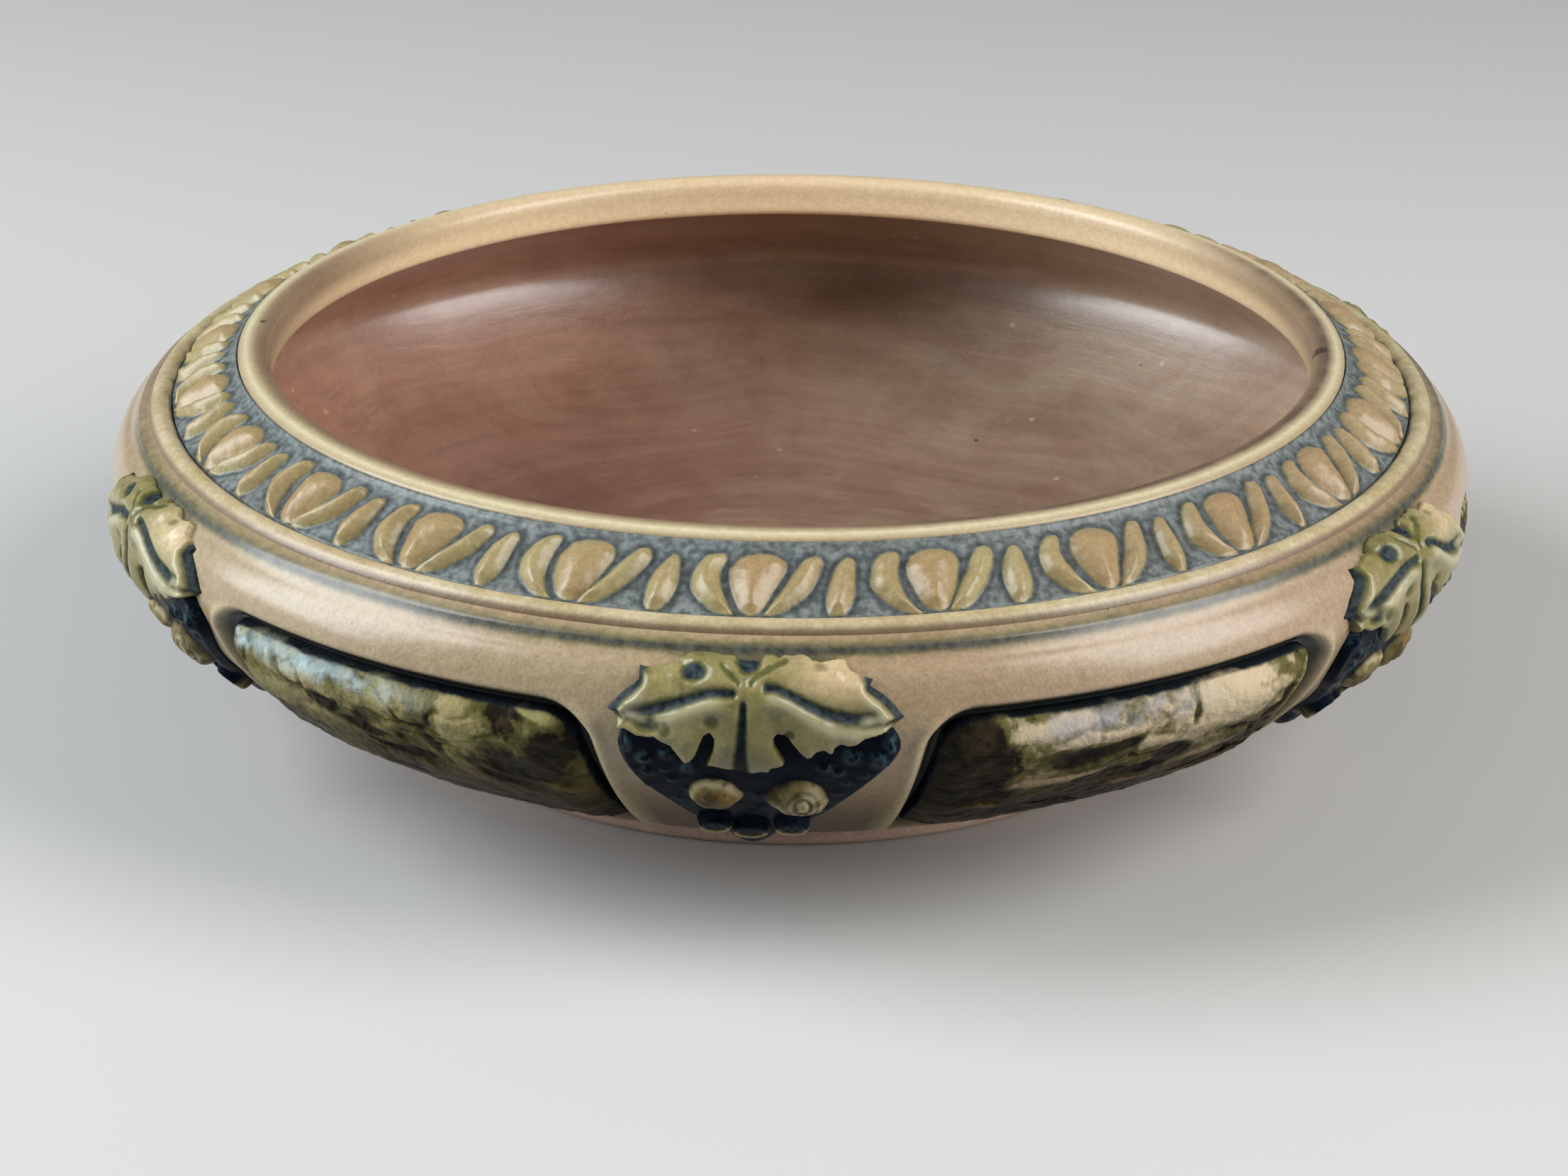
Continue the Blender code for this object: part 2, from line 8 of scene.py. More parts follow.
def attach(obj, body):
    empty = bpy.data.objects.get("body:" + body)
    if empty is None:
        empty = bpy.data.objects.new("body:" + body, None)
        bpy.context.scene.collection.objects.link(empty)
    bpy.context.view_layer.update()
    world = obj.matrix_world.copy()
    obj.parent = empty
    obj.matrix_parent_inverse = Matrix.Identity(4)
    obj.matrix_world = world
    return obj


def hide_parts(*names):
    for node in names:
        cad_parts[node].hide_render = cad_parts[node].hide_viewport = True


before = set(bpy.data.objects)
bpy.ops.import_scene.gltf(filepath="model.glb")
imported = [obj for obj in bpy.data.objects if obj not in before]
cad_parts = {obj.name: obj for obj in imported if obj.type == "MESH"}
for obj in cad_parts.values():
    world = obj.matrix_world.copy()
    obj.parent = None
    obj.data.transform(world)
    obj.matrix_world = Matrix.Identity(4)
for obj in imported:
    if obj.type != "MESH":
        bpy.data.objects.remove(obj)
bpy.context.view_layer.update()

# Foot ring. A plain ring of the same fired clay as the bowl, turned in one with it and flat below. Its glaze
# is thin and pink, painted paler as painted light where the foot lies in the bowl's shade, and it is rubbed
# bare along the edge that meets the table.
FOOT_RADIUS, FOOT_WIDTH, FOOT_HEIGHT = 75.0, 8.5, 8.0
# The rounds of its lower edges, outside and inside
OUTER_ROUND, INNER_ROUND = 1.4, 0.8


def skin(name, points, ring=True, loop=False, keep=None, flat=None, under=None, tones=None):
    """A smooth closed mesh from a grid of points in millimetres.

    The grid's rows run down the outside and its columns run round to the right. ring joins the last column
    to the first, loop the last row to the first. keep drops the squares with none of their corners in it.
    The border that is left open is closed behind: its places in the flat, drawn in towards their middle in
    four rings, are laid on the surface that under() gives. tones are named values for each point. The volume
    is the sum of the tetrahedra from the origin to each face, and where it comes out below 0 all the faces
    are turned round.
    """
    rows, columns = points.shape[:2]
    index = np.arange(rows * columns).reshape(rows, columns)
    index = np.hstack([index, index[:, :1]]) if ring else index
    index = np.vstack([index, index[:1]]) if loop else index
    quads = np.stack([index[:-1, :-1], index[1:, :-1], index[1:, 1:], index[:-1, 1:]], -1).reshape(-1, 4)
    places = points.reshape(-1, 3)
    values = {key: np.broadcast_to(value, (rows, columns)).ravel() for key, value in (tones or {}).items()}
    if keep is not None:
        quads = quads[keep.ravel()[quads].any(1)]
    used, quads = np.unique(quads, return_inverse=True)
    quads = quads.reshape(-1, 4)
    places = places[used]
    values = {key: value[used] for key, value in values.items()}
    sides = np.concatenate([quads[:, [i, (i + 1) % 4]] for i in range(4)])
    codes = sides[:, 0] * len(places) + sides[:, 1]
    border = sides[~np.isin(codes, sides[:, 1] * len(places) + sides[:, 0])]
    caps = np.zeros((0, 3), int)
    if len(border):
        rim, border = np.unique(border, return_inverse=True)
        i, j = border.reshape(-1, 2).T
        here = np.stack(flat, -1).reshape(-1, 2)[used][rim]
        middle = here.mean(0)
        rings = [under(*(middle + share * (here - middle)).T) for share in (0.97, 0.7, 0.4, 0.15)]
        count, first = len(rim), len(places)
        steps = [rim] + [first + count * number + np.arange(count) for number in range(4)]
        backs = [np.stack([a[j], a[i], b[i], b[j]], -1) for a, b in zip(steps, steps[1:])]
        quads = np.concatenate([quads, *backs])
        caps = np.stack([steps[-1][j], steps[-1][i], np.full(len(i), first + 4 * count)], -1)
        places = np.concatenate([places, *rings, under(*middle)[None]])
        values = {key: np.concatenate([value, np.zeros(4 * count + 1)]) for key, value in values.items()}
    a, b, c, d = places[quads].transpose(1, 0, 2)
    volume = (a * (np.cross(b, c) + np.cross(c, d))).sum()
    a, b, c = places[caps].transpose(1, 0, 2)
    if volume + (a * np.cross(b, c)).sum() < 0:
        quads, caps = quads[:, ::-1], caps[:, ::-1]
    mesh = bpy.data.meshes.new(name)
    mesh.vertices.add(len(places))
    mesh.vertices.foreach_set("co", (places * 0.001).ravel())
    mesh.loops.add(quads.size + caps.size)
    mesh.loops.foreach_set("vertex_index", np.concatenate([quads.ravel(), caps.ravel()]).astype(np.int32))
    mesh.polygons.add(len(quads) + len(caps))
    starts = np.concatenate([np.arange(len(quads)) * 4, quads.size + np.arange(len(caps)) * 3])
    mesh.polygons.foreach_set("loop_start", starts.astype(np.int32))
    mesh.update(calc_edges=True)
    mesh.shade_smooth()
    for key, value in values.items():
        mesh.attributes.new(key, "FLOAT", "POINT").data.foreach_set("value", value.astype(np.float32))
    piece = bpy.data.objects.new(name, mesh)
    bpy.context.scene.collection.objects.link(piece)
    return piece


def turns(columns):
    """So many even angles round the bowl, to the right from the front."""
    return np.arange(columns) / columns * tau


def turned(profile, angle):
    """Points of a profile of (radius, height) spun about the bowl's axis, at each of the angles."""
    profile = np.array(profile, float)
    radius = profile[:, :1]
    return np.stack([radius * np.sin(angle), -radius * np.cos(angle), profile[:, 1:] + 0 * angle], -1)


def arc(centre, radius, start, end, steps):
    """Points on a circle about a (radius, height) centre, from one direction in degrees to another."""
    turn = np.radians(np.linspace(start, end, steps))
    return [(centre[0] + radius * c, centre[1] + radius * s) for c, s in zip(np.cos(turn), np.sin(turn))]


class Flow:
    """A socket as a value. The operators add Math nodes, and add() makes any other node."""

    def __init__(self, tree, socket=None):
        self.tree = tree
        self.socket = socket

    def add(self, kind, settings=None, inputs=None, output=0):
        """A node: its settings, then the values or links of its sockets, and the output that is wanted."""
        node = self.tree.nodes.new("ShaderNode" + kind)
        for key, value in (settings or {}).items():
            setattr(node, key, value)
        for key, value in (inputs or {}).items():
            if isinstance(value, Flow):
                self.tree.links.new(value.socket, node.inputs[key])
            else:
                node.inputs[key].default_value = value
        return Flow(self.tree, node.outputs[output])

    def maths(self, operation, *values):
        return self.add("Math", {"operation": operation}, dict(enumerate(values)))

    def __add__(self, other):
        return self.maths("ADD", self, other)

    def __sub__(self, other):
        return self.maths("SUBTRACT", self, other)

    def __rsub__(self, other):
        return self.maths("SUBTRACT", other, self)

    def __mul__(self, other):
        return self.maths("MULTIPLY", self, other)

    __radd__ = __add__
    __rmul__ = __mul__

    def between(self, low, high):
        """0 where the value is at low, 1 where it is at high, with a soft start and end."""
        settings = {"interpolation_type": "SMOOTHSTEP"}
        return self.add("MapRange", settings, {0: self, 1: low, 2: high})

    def mix(self, low, high):
        """The first colour where this value is 0, the second where it is 1."""
        values = [value if isinstance(value, Flow) else (*value, 1) for value in (low, high)]
        return self.add("Mix", {"data_type": "RGBA"}, {0: self, 6: values[0], 7: values[1]}, 2)

    def tint(self, colour):
        """This colour multiplied by another."""
        settings = {"data_type": "RGBA", "blend_type": "MULTIPLY"}
        return self.add("Mix", settings, {0: 1.0, 6: self, 7: (*colour, 1)}, 2)

    def tone(self, name):
        """A value that the mesh carries at its points."""
        return self.add("Attribute", {"attribute_name": name}, output="Fac")

    def place(self, stretch=(1, 1, 1), shift=(0, 0, 0)):
        """Object coordinates, stretched and shifted."""
        here = self.add("TexCoord", output="Object")
        return self.add("Mapping", None, {"Vector": here, "Scale": stretch, "Location": shift})

    def axis(self, number):
        """How far the point lies to the right, back or up, in millimetres."""
        return self.add("SeparateXYZ", None, {0: self.place()}, number) * 1000.0

    def cloud(self, size, detail=2.0, where=None, distortion=0.0):
        """Soft noise from 0 to 1 whose lumps are about so many millimetres wide."""
        inputs = {"Vector": where or self.place(), "Scale": 1000 / size}
        return self.add("TexNoise", None, {**inputs, "Detail": detail, "Distortion": distortion})

    def specks(self, spacing, radius, shift=0.0):
        """1 in small round dots of that radius in millimetres, about so far apart, and 0 between them."""
        where = self.place(shift=(shift, shift, shift))
        cell = self.add("TexVoronoi", None, {"Vector": where, "Scale": 1000 / spacing}, "Distance")
        return 1 - cell.between(0.6 * radius / spacing, radius / spacing)


def new_glaze(name):
    """A material of one fired glaze, and a Flow to write it with."""
    material = bpy.data.materials.new(name)
    material.use_nodes = True
    return material, Flow(material.node_tree)


def fire(flow, colour, roughness, height, depth=0.14, wet=0.3, shine=0.5):
    """Joins the glaze to its shader: the colour, the gloss, and relief that many millimetres deep.

    wet is the weight of the thin clear coat on it, and shine how strongly the glaze itself reflects.
    """
    shader = flow.tree.nodes["Principled BSDF"]
    relief = flow.add("Bump", None, {"Strength": 1.0, "Distance": depth * 0.001, "Height": height})
    inputs = {"Base Color": colour, "Roughness": roughness, "Normal": relief, "Coat Weight": wet}
    for key, value in inputs.items():
        if isinstance(value, Flow):
            flow.tree.links.new(value.socket, shader.inputs[key])
        else:
            shader.inputs[key].default_value = value
    shader.inputs["Coat Roughness"].default_value = 0.24
    shader.inputs["Specular IOR Level"].default_value = shine


def fired(flow, colour, strength=1.0):
    """A colour as the kiln leaves it: drifting over 45 mm, mottled at 1.6 and 0.7 mm, with brown specks."""
    drift = flow.cloud(45, 3).between(0.3, 0.7)
    colour = (drift * (0.5 * strength)).mix(colour, colour.tint((0.92, 0.80, 0.80)))
    mottle = flow.cloud(1.6, 3).between(0.25, 0.75)
    colour = (mottle * (0.7 * strength)).mix(colour, colour.tint((0.80, 0.78, 0.74)))
    grain = flow.cloud(0.7, 2).between(0.35, 0.65)
    colour = (grain * (0.6 * strength)).mix(colour, colour.tint((0.76, 0.76, 0.76)))
    specks = flow.specks(5.5, 0.26) * flow.cloud(14, 1).between(0.5, 0.62)
    return (specks * 0.8).mix(colour, (0.09, 0.055, 0.03))


def orange_peel(flow):
    """The matt glaze's fine skin: a ripple of 0.6 mm over swells of 4 mm, with pinholes."""
    pits = flow.specks(7, 0.3, 0.5) * flow.cloud(20, 1).between(0.5, 0.6)
    return flow.cloud(0.6, 2) * 0.3 + flow.cloud(4, 1) * 0.7 - pits * 0.7


foot_inner = FOOT_RADIUS - FOOT_WIDTH
foot_profile = [(foot_inner, 4.0), (foot_inner, FOOT_HEIGHT), (FOOT_RADIUS, FOOT_HEIGHT), (FOOT_RADIUS, 5.0)]
foot_profile += arc((FOOT_RADIUS - OUTER_ROUND, OUTER_ROUND), OUTER_ROUND, 0, -90, 7)
foot_profile += [(foot_inner + 1.0, 0.0)]
foot_profile += arc((foot_inner + INNER_ROUND, INNER_ROUND), INNER_ROUND, -90, -180, 5)
foot = skin("foot_fired", turned(foot_profile, turns(720)), loop=True)
foot_glaze, g = new_glaze("foot_glaze")
bare = g.axis(2).between(2.2, 0.3) * g.cloud(3, 2).between(0.3, 0.7)
# The thin glaze's pink, with painted light: paler than the glaze, for the light that the shaded foot lacks
pink_with_painted_light = fired(g, g.cloud(25, 2).mix((0.72, 0.49, 0.39), (0.80, 0.57, 0.46)))
fire(g, bare.mix(pink_with_painted_light, (0.52, 0.39, 0.27)), 0.5 + 0.25 * bare, orange_peel(g))
foot.data.materials.append(foot_glaze)
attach(foot, "root")
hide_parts("foot_ring")

# Bowl body. Cast stoneware with a low rounded wall, six panels sunk in it, a turned-in shoulder with seats
# for the trims, and a plain inside. The matt tan glaze runs thin and warm on the swells and pools slate in
# the grooves.
SPRIGS = 6
SECTOR = tau / SPRIGS
# The wall's lowest, widest and highest ring, as (radius, height), and how full it is from one to the next
BASE, WIDEST, SHOULDER = (80.0, 8.3), (127.4, 48.0), (121.4, 58.2)
FULLNESS = 1.48
COVE_HEIGHT, COVE_WIDTH = 1.9, 2.8
# A panel starts so far up along the wall, ends so far below its top, and has such a depth and corner
PANEL_BOTTOM, PANEL_DROP, PANEL_DEPTH, PANEL_CORNER = 20.0, 11.0, 3.0, 7.0
# Half the width of the wall left between two panels, at their bottom and top, and the mean radius there
PILASTER_FOOT, PILASTER_HEAD, PILASTER_RADIUS = 21.0, 28.5, 114
# The band slopes over the shoulder: its upper ring, its run outwards, its fall, and how deep its seat lies
BAND_INNER, BAND_TOP, BAND_RUN, BAND_RISE, SEAT_DEPTH = 103.3, 69.8, 12.2, 7.8, 3.44
# Relief pieces are closed this far inside the wall
BACK_DEPTH = 3.6


def quarter(start, end, fullness, steps):
    """A quarter round from start, where it stands upright, to end, where it lies flat.

    It is a superellipse whose power is the fullness: 1 is a cone and 2 an ellipse.
    """
    turn = np.linspace(0, tau / 4, steps)
    across, along = 1 - np.cos(turn) ** (2 / fullness), np.sin(turn) ** (2 / fullness)
    return np.stack([start[0] + (end[0] - start[0]) * across, start[1] + (end[1] - start[1]) * along], -1)


def evened(curve, step, softness):
    """A curve at even steps, its ends kept and its corners rounded over about so many steps."""
    lengths = np.concatenate([[0], np.cumsum(np.hypot(*np.diff(curve, axis=0).T))])
    even = np.linspace(0, lengths[-1], int(lengths[-1] / step) + 1)
    curve = np.stack([np.interp(even, lengths, curve[:, k]) for k in (0, 1)], -1)
    reach = int(3 * softness)
    bell = np.exp(-0.5 * (np.arange(-reach, reach + 1) / softness) ** 2)
    bell /= bell.sum()
    before, after = 2 * curve[0] - curve[reach:0:-1], 2 * curve[-1] - curve[-2 : -reach - 2 : -1]
    long = np.concatenate([before, curve, after])
    return np.stack([np.convolve(long[:, k], bell, "valid") for k in (0, 1)], -1)


wall_curve = [quarter(WIDEST, BASE, FULLNESS, 400)[::-1], quarter(WIDEST, SHOULDER, 2, 160)[1:]]
wall_curve = evened(np.concatenate(wall_curve), 0.1, 9)
wall_along = np.concatenate([[0], np.cumsum(np.hypot(*np.diff(wall_curve, axis=0).T))])
wall_way = np.gradient(wall_curve, wall_along, axis=0)
wall_way /= np.hypot(*wall_way.T)[:, None]
WALL_LENGTH = float(wall_along[-1])


def wall_radius(along):
    return np.interp(along, wall_along, wall_curve[:, 0])


def on_wall(angle, along, lift):
    """Points at an angle round from the front, so far up along the wall from its base, and so far off it."""
    way_out, way_up = (np.interp(along, wall_along, wall_way[:, k]) for k in (0, 1))
    radius = wall_radius(along) + lift * way_up
    height = np.interp(along, wall_along, wall_curve[:, 1]) - lift * way_out
    return np.stack(np.broadcast_arrays(radius * np.sin(angle), -radius * np.cos(angle), height), -1)


def inside_distance(x, y, outline):
    """How far points lie inside a closed outline: the least distance to its sides, less than 0 outside.

    A point is inside where a level line from it crosses the outline an odd number of times.
    """
    a = np.array(outline, float)
    side = np.roll(a, -1, 0) - a
    x, y = np.broadcast_arrays(x, y)
    point = np.stack([x.ravel(), y.ravel()], -1)
    away = point[:, None] - a[None]
    share = np.clip((away * side).sum(-1) / (side**2).sum(-1), 0, 1)
    least = np.sqrt(((away - share[..., None] * side) ** 2).sum(-1).min(1))
    level = (a[:, 1] > point[:, 1:]) != (a[:, 1] + side[:, 1] > point[:, 1:])
    run = side[:, 0] / np.where(side[:, 1] == 0, 1e-9, side[:, 1])
    odd = (level & (away[..., 0] < away[..., 1] * run)).sum(1) % 2
    return np.where(odd == 1, least, -least).reshape(x.shape)


def soft(value, low, high):
    """0 below low, 1 above high, and a smooth step between."""
    share = np.clip((value - low) / (high - low), 0, 1)
    return share * share * (3 - 2 * share)


def hump(value, reach):
    """1 where the value is 0, falling off as a bell whose height is 0.37 at the reach."""
    return np.exp(-((value / reach) ** 2))


def lumps(x, y, size, seed, octaves=1):
    """Smooth noise from -1 to 1 over a plane, each octave's lumps half as wide and high as those before.

    An octave blends the four nearest values of a seeded table of 61 by 61, which repeats.
    """
    total, scale = 0, 0
    for octave in range(octaves):
        table = np.random.default_rng(seed + octave).uniform(-1, 1, (61, 61))
        u, v = x / size * 2**octave, y / size * 2**octave
        i, j = np.floor(u).astype(int), np.floor(v).astype(int)
        f, h = soft(u - i, 0, 1), soft(v - j, 0, 1)
        low = table[i % 61, j % 61] * (1 - f) + table[(i + 1) % 61, j % 61] * f
        high = table[i % 61, (j + 1) % 61] * (1 - f) + table[(i + 1) % 61, (j + 1) % 61] * f
        total, scale = total + (low * (1 - h) + high * h) / 2**octave, scale + 1 / 2**octave
    return total / scale


def panel_outline(inset):
    """A sunk panel's outline as (side, along) from its middle: round upper corners and sharp lower ones."""
    low, high = PANEL_BOTTOM + inset, WALL_LENGTH - PANEL_DROP - inset
    corner = PANEL_CORNER - inset
    bend = high - corner
    rounded = bend + corner * np.sin(np.linspace(0.1, tau / 4, 12))
    along = np.concatenate([np.linspace(low, bend, 24), rounded])
    reach = np.clip(along - bend, 0, corner)
    pilaster = PILASTER_FOOT + (PILASTER_HEAD - PILASTER_FOOT) * (along - low) / (high - low)
    half = SECTOR / 2 * wall_radius(along) - pilaster - inset - corner + np.sqrt(corner**2 - reach**2)
    right = np.stack([half, along], -1)
    return np.concatenate([right, (right * (-1, 1))[::-1]])


# The columns crowd together along the panels' sides, and the rows at their tops and bottoms. A mark is a
# place along the wall and the number of rows down to it from the mark above
beside = (PILASTER_FOOT + PILASTER_HEAD) / 2 / PILASTER_RADIUS
half_turns = [np.linspace(0, beside - 0.035, 10)[:-1], np.linspace(beside - 0.035, beside + 0.075, 46)[:-1]]
half_turns = np.concatenate(half_turns + [np.linspace(beside + 0.075, SECTOR / 2, 10)])
sector_turns = np.concatenate([half_turns, SECTOR - half_turns[-2:0:-1]])
panel_top = WALL_LENGTH - PANEL_DROP
marks = [(WALL_LENGTH, 0), (WALL_LENGTH - 4.5, 12), (panel_top + 2.2, 6), (panel_top - 5.5, 24)]
marks += [(PANEL_BOTTOM + 5.5, 16), (PANEL_BOTTOM - 2.0, 20), (0, 9)]
wall_rows = [np.linspace(high, low, count + 1)[:-1] for (high, _), (low, count) in zip(marks, marks[1:])]
wall_rows = np.concatenate(wall_rows + [[0.0]])
turn, along = np.meshgrid(sector_turns, wall_rows)
side = (turn - SECTOR / 2) * wall_radius(along)
inside = inside_distance(side, along, panel_outline(0))
# The wall swells a little beside the groove, rolls over its edge and drops to the panel's floor
fillet = 0.6 * hump(inside + 1.9, 1.1) * soft(along, PANEL_BOTTOM, PANEL_BOTTOM + 6)
fillet = fillet * soft(panel_top + 1 - along, 0, 4)
lift = np.tile(fillet - PANEL_DEPTH * soft(inside, -1.2, 1.4), (1, SPRIGS))
inside = np.tile(inside, (1, SPRIGS))
aside = np.tile(np.minimum(turn, SECTOR - turn) * wall_radius(along), (1, SPRIGS))
angle = np.concatenate([turn + number * SECTOR for number in range(SPRIGS)], 1)
along = np.tile(along, (1, SPRIGS))
swell = 0.12 * lumps(np.sin(angle) * 125 + 400, np.cos(angle) * 125 + along + 400, 18, 5, 2)
# A small cove fills the corner between the shoulder and the bead
from_top = WALL_LENGTH - along
cove = COVE_HEIGHT * np.clip(1 - from_top / COVE_WIDTH, 0, 1) ** 2
outside = on_wall(angle, along, lift + cove + swell * soft(from_top, 1, 8))
pool = soft(inside, -1.3, 0.8) * soft(along, PANEL_BOTTOM - 1, PANEL_BOTTOM + 2)
# The slate line under the bead thins out on the left, and widens where it meets a leaf
strip = 0.74 * hump(from_top - 0.5, 0.75) * (1 - 0.75 * hump(np.degrees(angle) - 268, 18))
meeting = 0.55 * soft(13 - aside, -2, 2) * soft(3.0 - from_top, 0, 1.6)
pool = np.maximum(pool, np.maximum(strip, meeting))
crest = hump(inside + 2.0, 1.3) * soft(panel_top + 2 - along, 0, 6)


def seat_height(radius):
    """The height at a radius of the sloping seat on which the band and the bead lie."""
    return BAND_TOP - (radius - BAND_INNER) * BAND_RISE / BAND_RUN - SEAT_DEPTH


# Above the wall's outside come the seats of the lip, the band and the bead, and below it the underside and
# then the wall's own back
above_profile = [(102.4, 62.3), (102.7, 62.7), (BAND_INNER, 62.7), (BAND_INNER, seat_height(BAND_INNER))]
above_profile += [(118.4, seat_height(118.4)), (119.3, 58.6), (119.35, 61.1), (119.8, 60.95), (120.5, 60.4)]
under_profile = [(radius, BASE[1]) for radius in (78.5, 60.0, 30.0, 2.0)]
deep_points = on_wall(0.0, np.linspace(4, WALL_LENGTH - 7, 14), -4.2)
return_profile = [(2.0, 11.0), (60.0, 11.0), (77.0, 12.0)] + [(-y, z) for _, y, z in deep_points]
return_profile += [(110.0, 58.4), (105.0, 61.2)]
above, below = (turned(profile, angle[:1]) for profile in (above_profile, under_profile + return_profile))
above_edge, below_edge = np.ones(above.shape[:2]), np.zeros(below.shape[:2])
# Dark glaze fills the seats, and thins out over the last three rings before the wall
above_edge[-3:] = [[0.15], [0.12], [0.25]]
tones = {"pool": np.concatenate([above_edge, pool, below_edge])}
tones["crest"] = np.concatenate([0 * above_edge, crest, below_edge])
wall = skin("bowl_wall", np.concatenate([above, outside, below]), loop=True, tones=tones)
wall_glaze, g = new_glaze("wall_glaze")
warm = g.cloud(38, 3, g.place((1, 1, 1.6))).between(0.35, 0.65)
tan = warm.mix((0.49, 0.395, 0.235), (0.485, 0.365, 0.22))
pink = g.cloud(60, 2, g.place(shift=(0.2, 0.1, 0.3))).between(0.45, 0.7)
tan = (pink * 0.6).mix(tan, (0.51, 0.355, 0.235))
tan = (g.axis(0).between(10, 120) * 0.45).mix(tan, (0.51, 0.35, 0.245))
# Painted shade: the wall darkens to deep brown towards its foot, below 38 mm
tan = (g.axis(2).between(38, 22) * 0.92).mix(tan, (0.115, 0.078, 0.052))
# Pale pink along the base, below 15 mm: the thin glaze's pink, brightened as painted light where the
# underside lies in shade
tan = g.axis(2).between(15.5, 11).mix(tan, (0.60, 0.41, 0.32))
tan = (g.tone("crest") * 0.85).mix(tan, (0.68, 0.58, 0.35))
tan = fired(g, tan)
scuff = g.cloud(4, 4, g.place((1, 1, 3), (0.05, 0, 0)), 0.5).between(0.68, 0.73)
tan = (scuff * g.cloud(25, 1).between(0.5, 0.58) * 0.6).mix(tan, (0.30, 0.17, 0.07))
ragged = g.tone("pool") + (g.cloud(2.2, 4) - 0.5) * 0.4
slate = g.cloud(1.2, 3).between(0.3, 0.7).mix((0.03, 0.034, 0.027), (0.085, 0.094, 0.078))
deep = g.tone("pool").between(0.4, 0.9) * g.axis(2).between(58.0, 56)
slate = (deep * 0.95).mix(slate, (0.010, 0.012, 0.013))
olive = ragged.between(0.05, 0.5).mix(tan, tan.tint((0.52, 0.58, 0.45)))
high = g.axis(2).between(28, 46)
dull = 0.55 - high * 0.17 + 0.1 * g.cloud(6, 2) + ragged.between(0.4, 0.9) * 0.2
fire(g, ragged.between(0.3, 0.8).mix(olive, slate), dull, orange_peel(g), 0.32, high * 0.85, 0.22)
wall.data.materials.append(wall_glaze)

# The inside: its edge at the floor, its widest ring and its neck, as (radius, height)
FLOOR_EDGE, INSIDE_WIDEST, NECK = (73.0, 14.5), (121.4, 47.0), (98.2, 63.3)
NECK_FULLNESS, SHELL, INSIDE_COLUMNS = 1.2, 1.1, 480
inside_curve = quarter(INSIDE_WIDEST, FLOOR_EDGE, FULLNESS, 300)[::-1]
inside_curve = np.concatenate([inside_curve, quarter(INSIDE_WIDEST, NECK, NECK_FULLNESS, 120)[1:]])
inside_curve = evened(inside_curve, 0.1, 25)
floor_profile = [(70.0, 14.4), (66.0, 14.35), (50.0, 14.3), (30.0, 14.3), (14.0, 14.3), (1.5, 14.3)]
inside_profile = np.concatenate([inside_curve[::-1][::18], floor_profile])
inside_way = np.gradient(inside_curve, axis=0)
inside_way /= np.hypot(*inside_way.T)[:, None]
behind = inside_curve + SHELL * np.stack([inside_way[:, 1], -inside_way[:, 0]], -1)
inner_return = [(1.5, 12.6), (60.0, 12.6)] + [tuple(point) for point in behind[60:-30:60]] + [(100.6, 63.4)]
inside_points = turned(np.concatenate([inside_profile, inner_return]), turns(INSIDE_COLUMNS))
# A wheel leaves low rings on the inside, a little uneven round the bowl
inside_angle = turns(INSIDE_COLUMNS)[None, :]
depth = np.arange(len(inside_points))[:, None] * 1.8
rings = lumps(20 * np.sin(inside_angle) + 40 + 0 * depth, depth + 6 * np.cos(inside_angle) + 50, 7, 11, 2)
inside_points[2:-8, :, 2] += 0.12 * rings[2:-8]
inner = skin("bowl_inside", inside_points[::-1], loop=True)
inside_glaze, g = new_glaze("inside_glaze")
flat = g.add("VectorMath", {"operation": "MULTIPLY"}, {0: g.place(), 1: (1, 1, 0)})
reach = g.add("VectorMath", {"operation": "LENGTH"}, {0: flat}, 1)
wander = g.cloud(70, 1) * 0.03
path = g.add("CombineXYZ", None, {0: reach + wander, 1: g.axis(2) * 0.001, 2: g.cloud(45, 1) * 0.03})
streaks = g.cloud(2.6, 4, path, 0.4).between(0.3, 0.72)
broad = g.cloud(11, 3, path, 0.6).between(0.35, 0.65)
blots = g.cloud(16, 4, g.place((1, 1, 0.6), (0.13, 0.2, 0)), 0.8).between(0.38, 0.62)
# Painted light: the inside's tan, redder to the left, and the floor's colour are painted far paler than the
# glaze, so that the shaded walls and floor show lit
left = (g.axis(0) + (g.cloud(40, 2) - 0.5) * 70.0).between(35, -60)
base = left.mix((1.0, 0.90, 0.66), (1.0, 0.70, 0.50))
low = (g.axis(2) + (g.cloud(30, 2) - 0.5) * 12.0).between(29, 12)
base = low.mix(base, left.mix((0.95, 0.79, 0.58), (0.80, 0.545, 0.44)))
# Painted shade: the middle of the inside's back wall is darkened
back = g.axis(1).between(-30, 50) * (1 - (g.axis(0) + 5.0).maths("ABSOLUTE").between(8, 46))
base = (back * 0.95).mix(base, base.tint((0.42, 0.34, 0.33)))
base = (streaks * 0.5).mix(base, base.tint((0.72, 0.68, 0.66)))
base = (broad * 0.55).mix(base, base.tint((0.76, 0.74, 0.74)))
base = (blots * 0.5).mix(base, base.tint((0.78, 0.66, 0.62)))
base = fired(g, base, 0.5)
spots = g.specks(8, 0.8, 0.37) * g.cloud(26, 2, g.place(shift=(0.3, 0.2, 0.1))).between(0.52, 0.58)
base = (spots * 0.6).mix(base, (0.62, 0.50, 0.42))
dark_spots = g.specks(13, 0.6, 0.81) * g.cloud(30, 1).between(0.5, 0.56)
base = (dark_spots * 0.7).mix(base, (0.05, 0.03, 0.02))
skin_relief = orange_peel(g) + streaks * 0.25 - dark_spots * 0.8
fire(g, base, 0.30 + 0.12 * g.cloud(5, 3), skin_relief, 0.16, 0.9)
inner.data.materials.append(inside_glaze)
for piece in (wall, inner):
    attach(piece, "root")
    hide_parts("bowl_body")

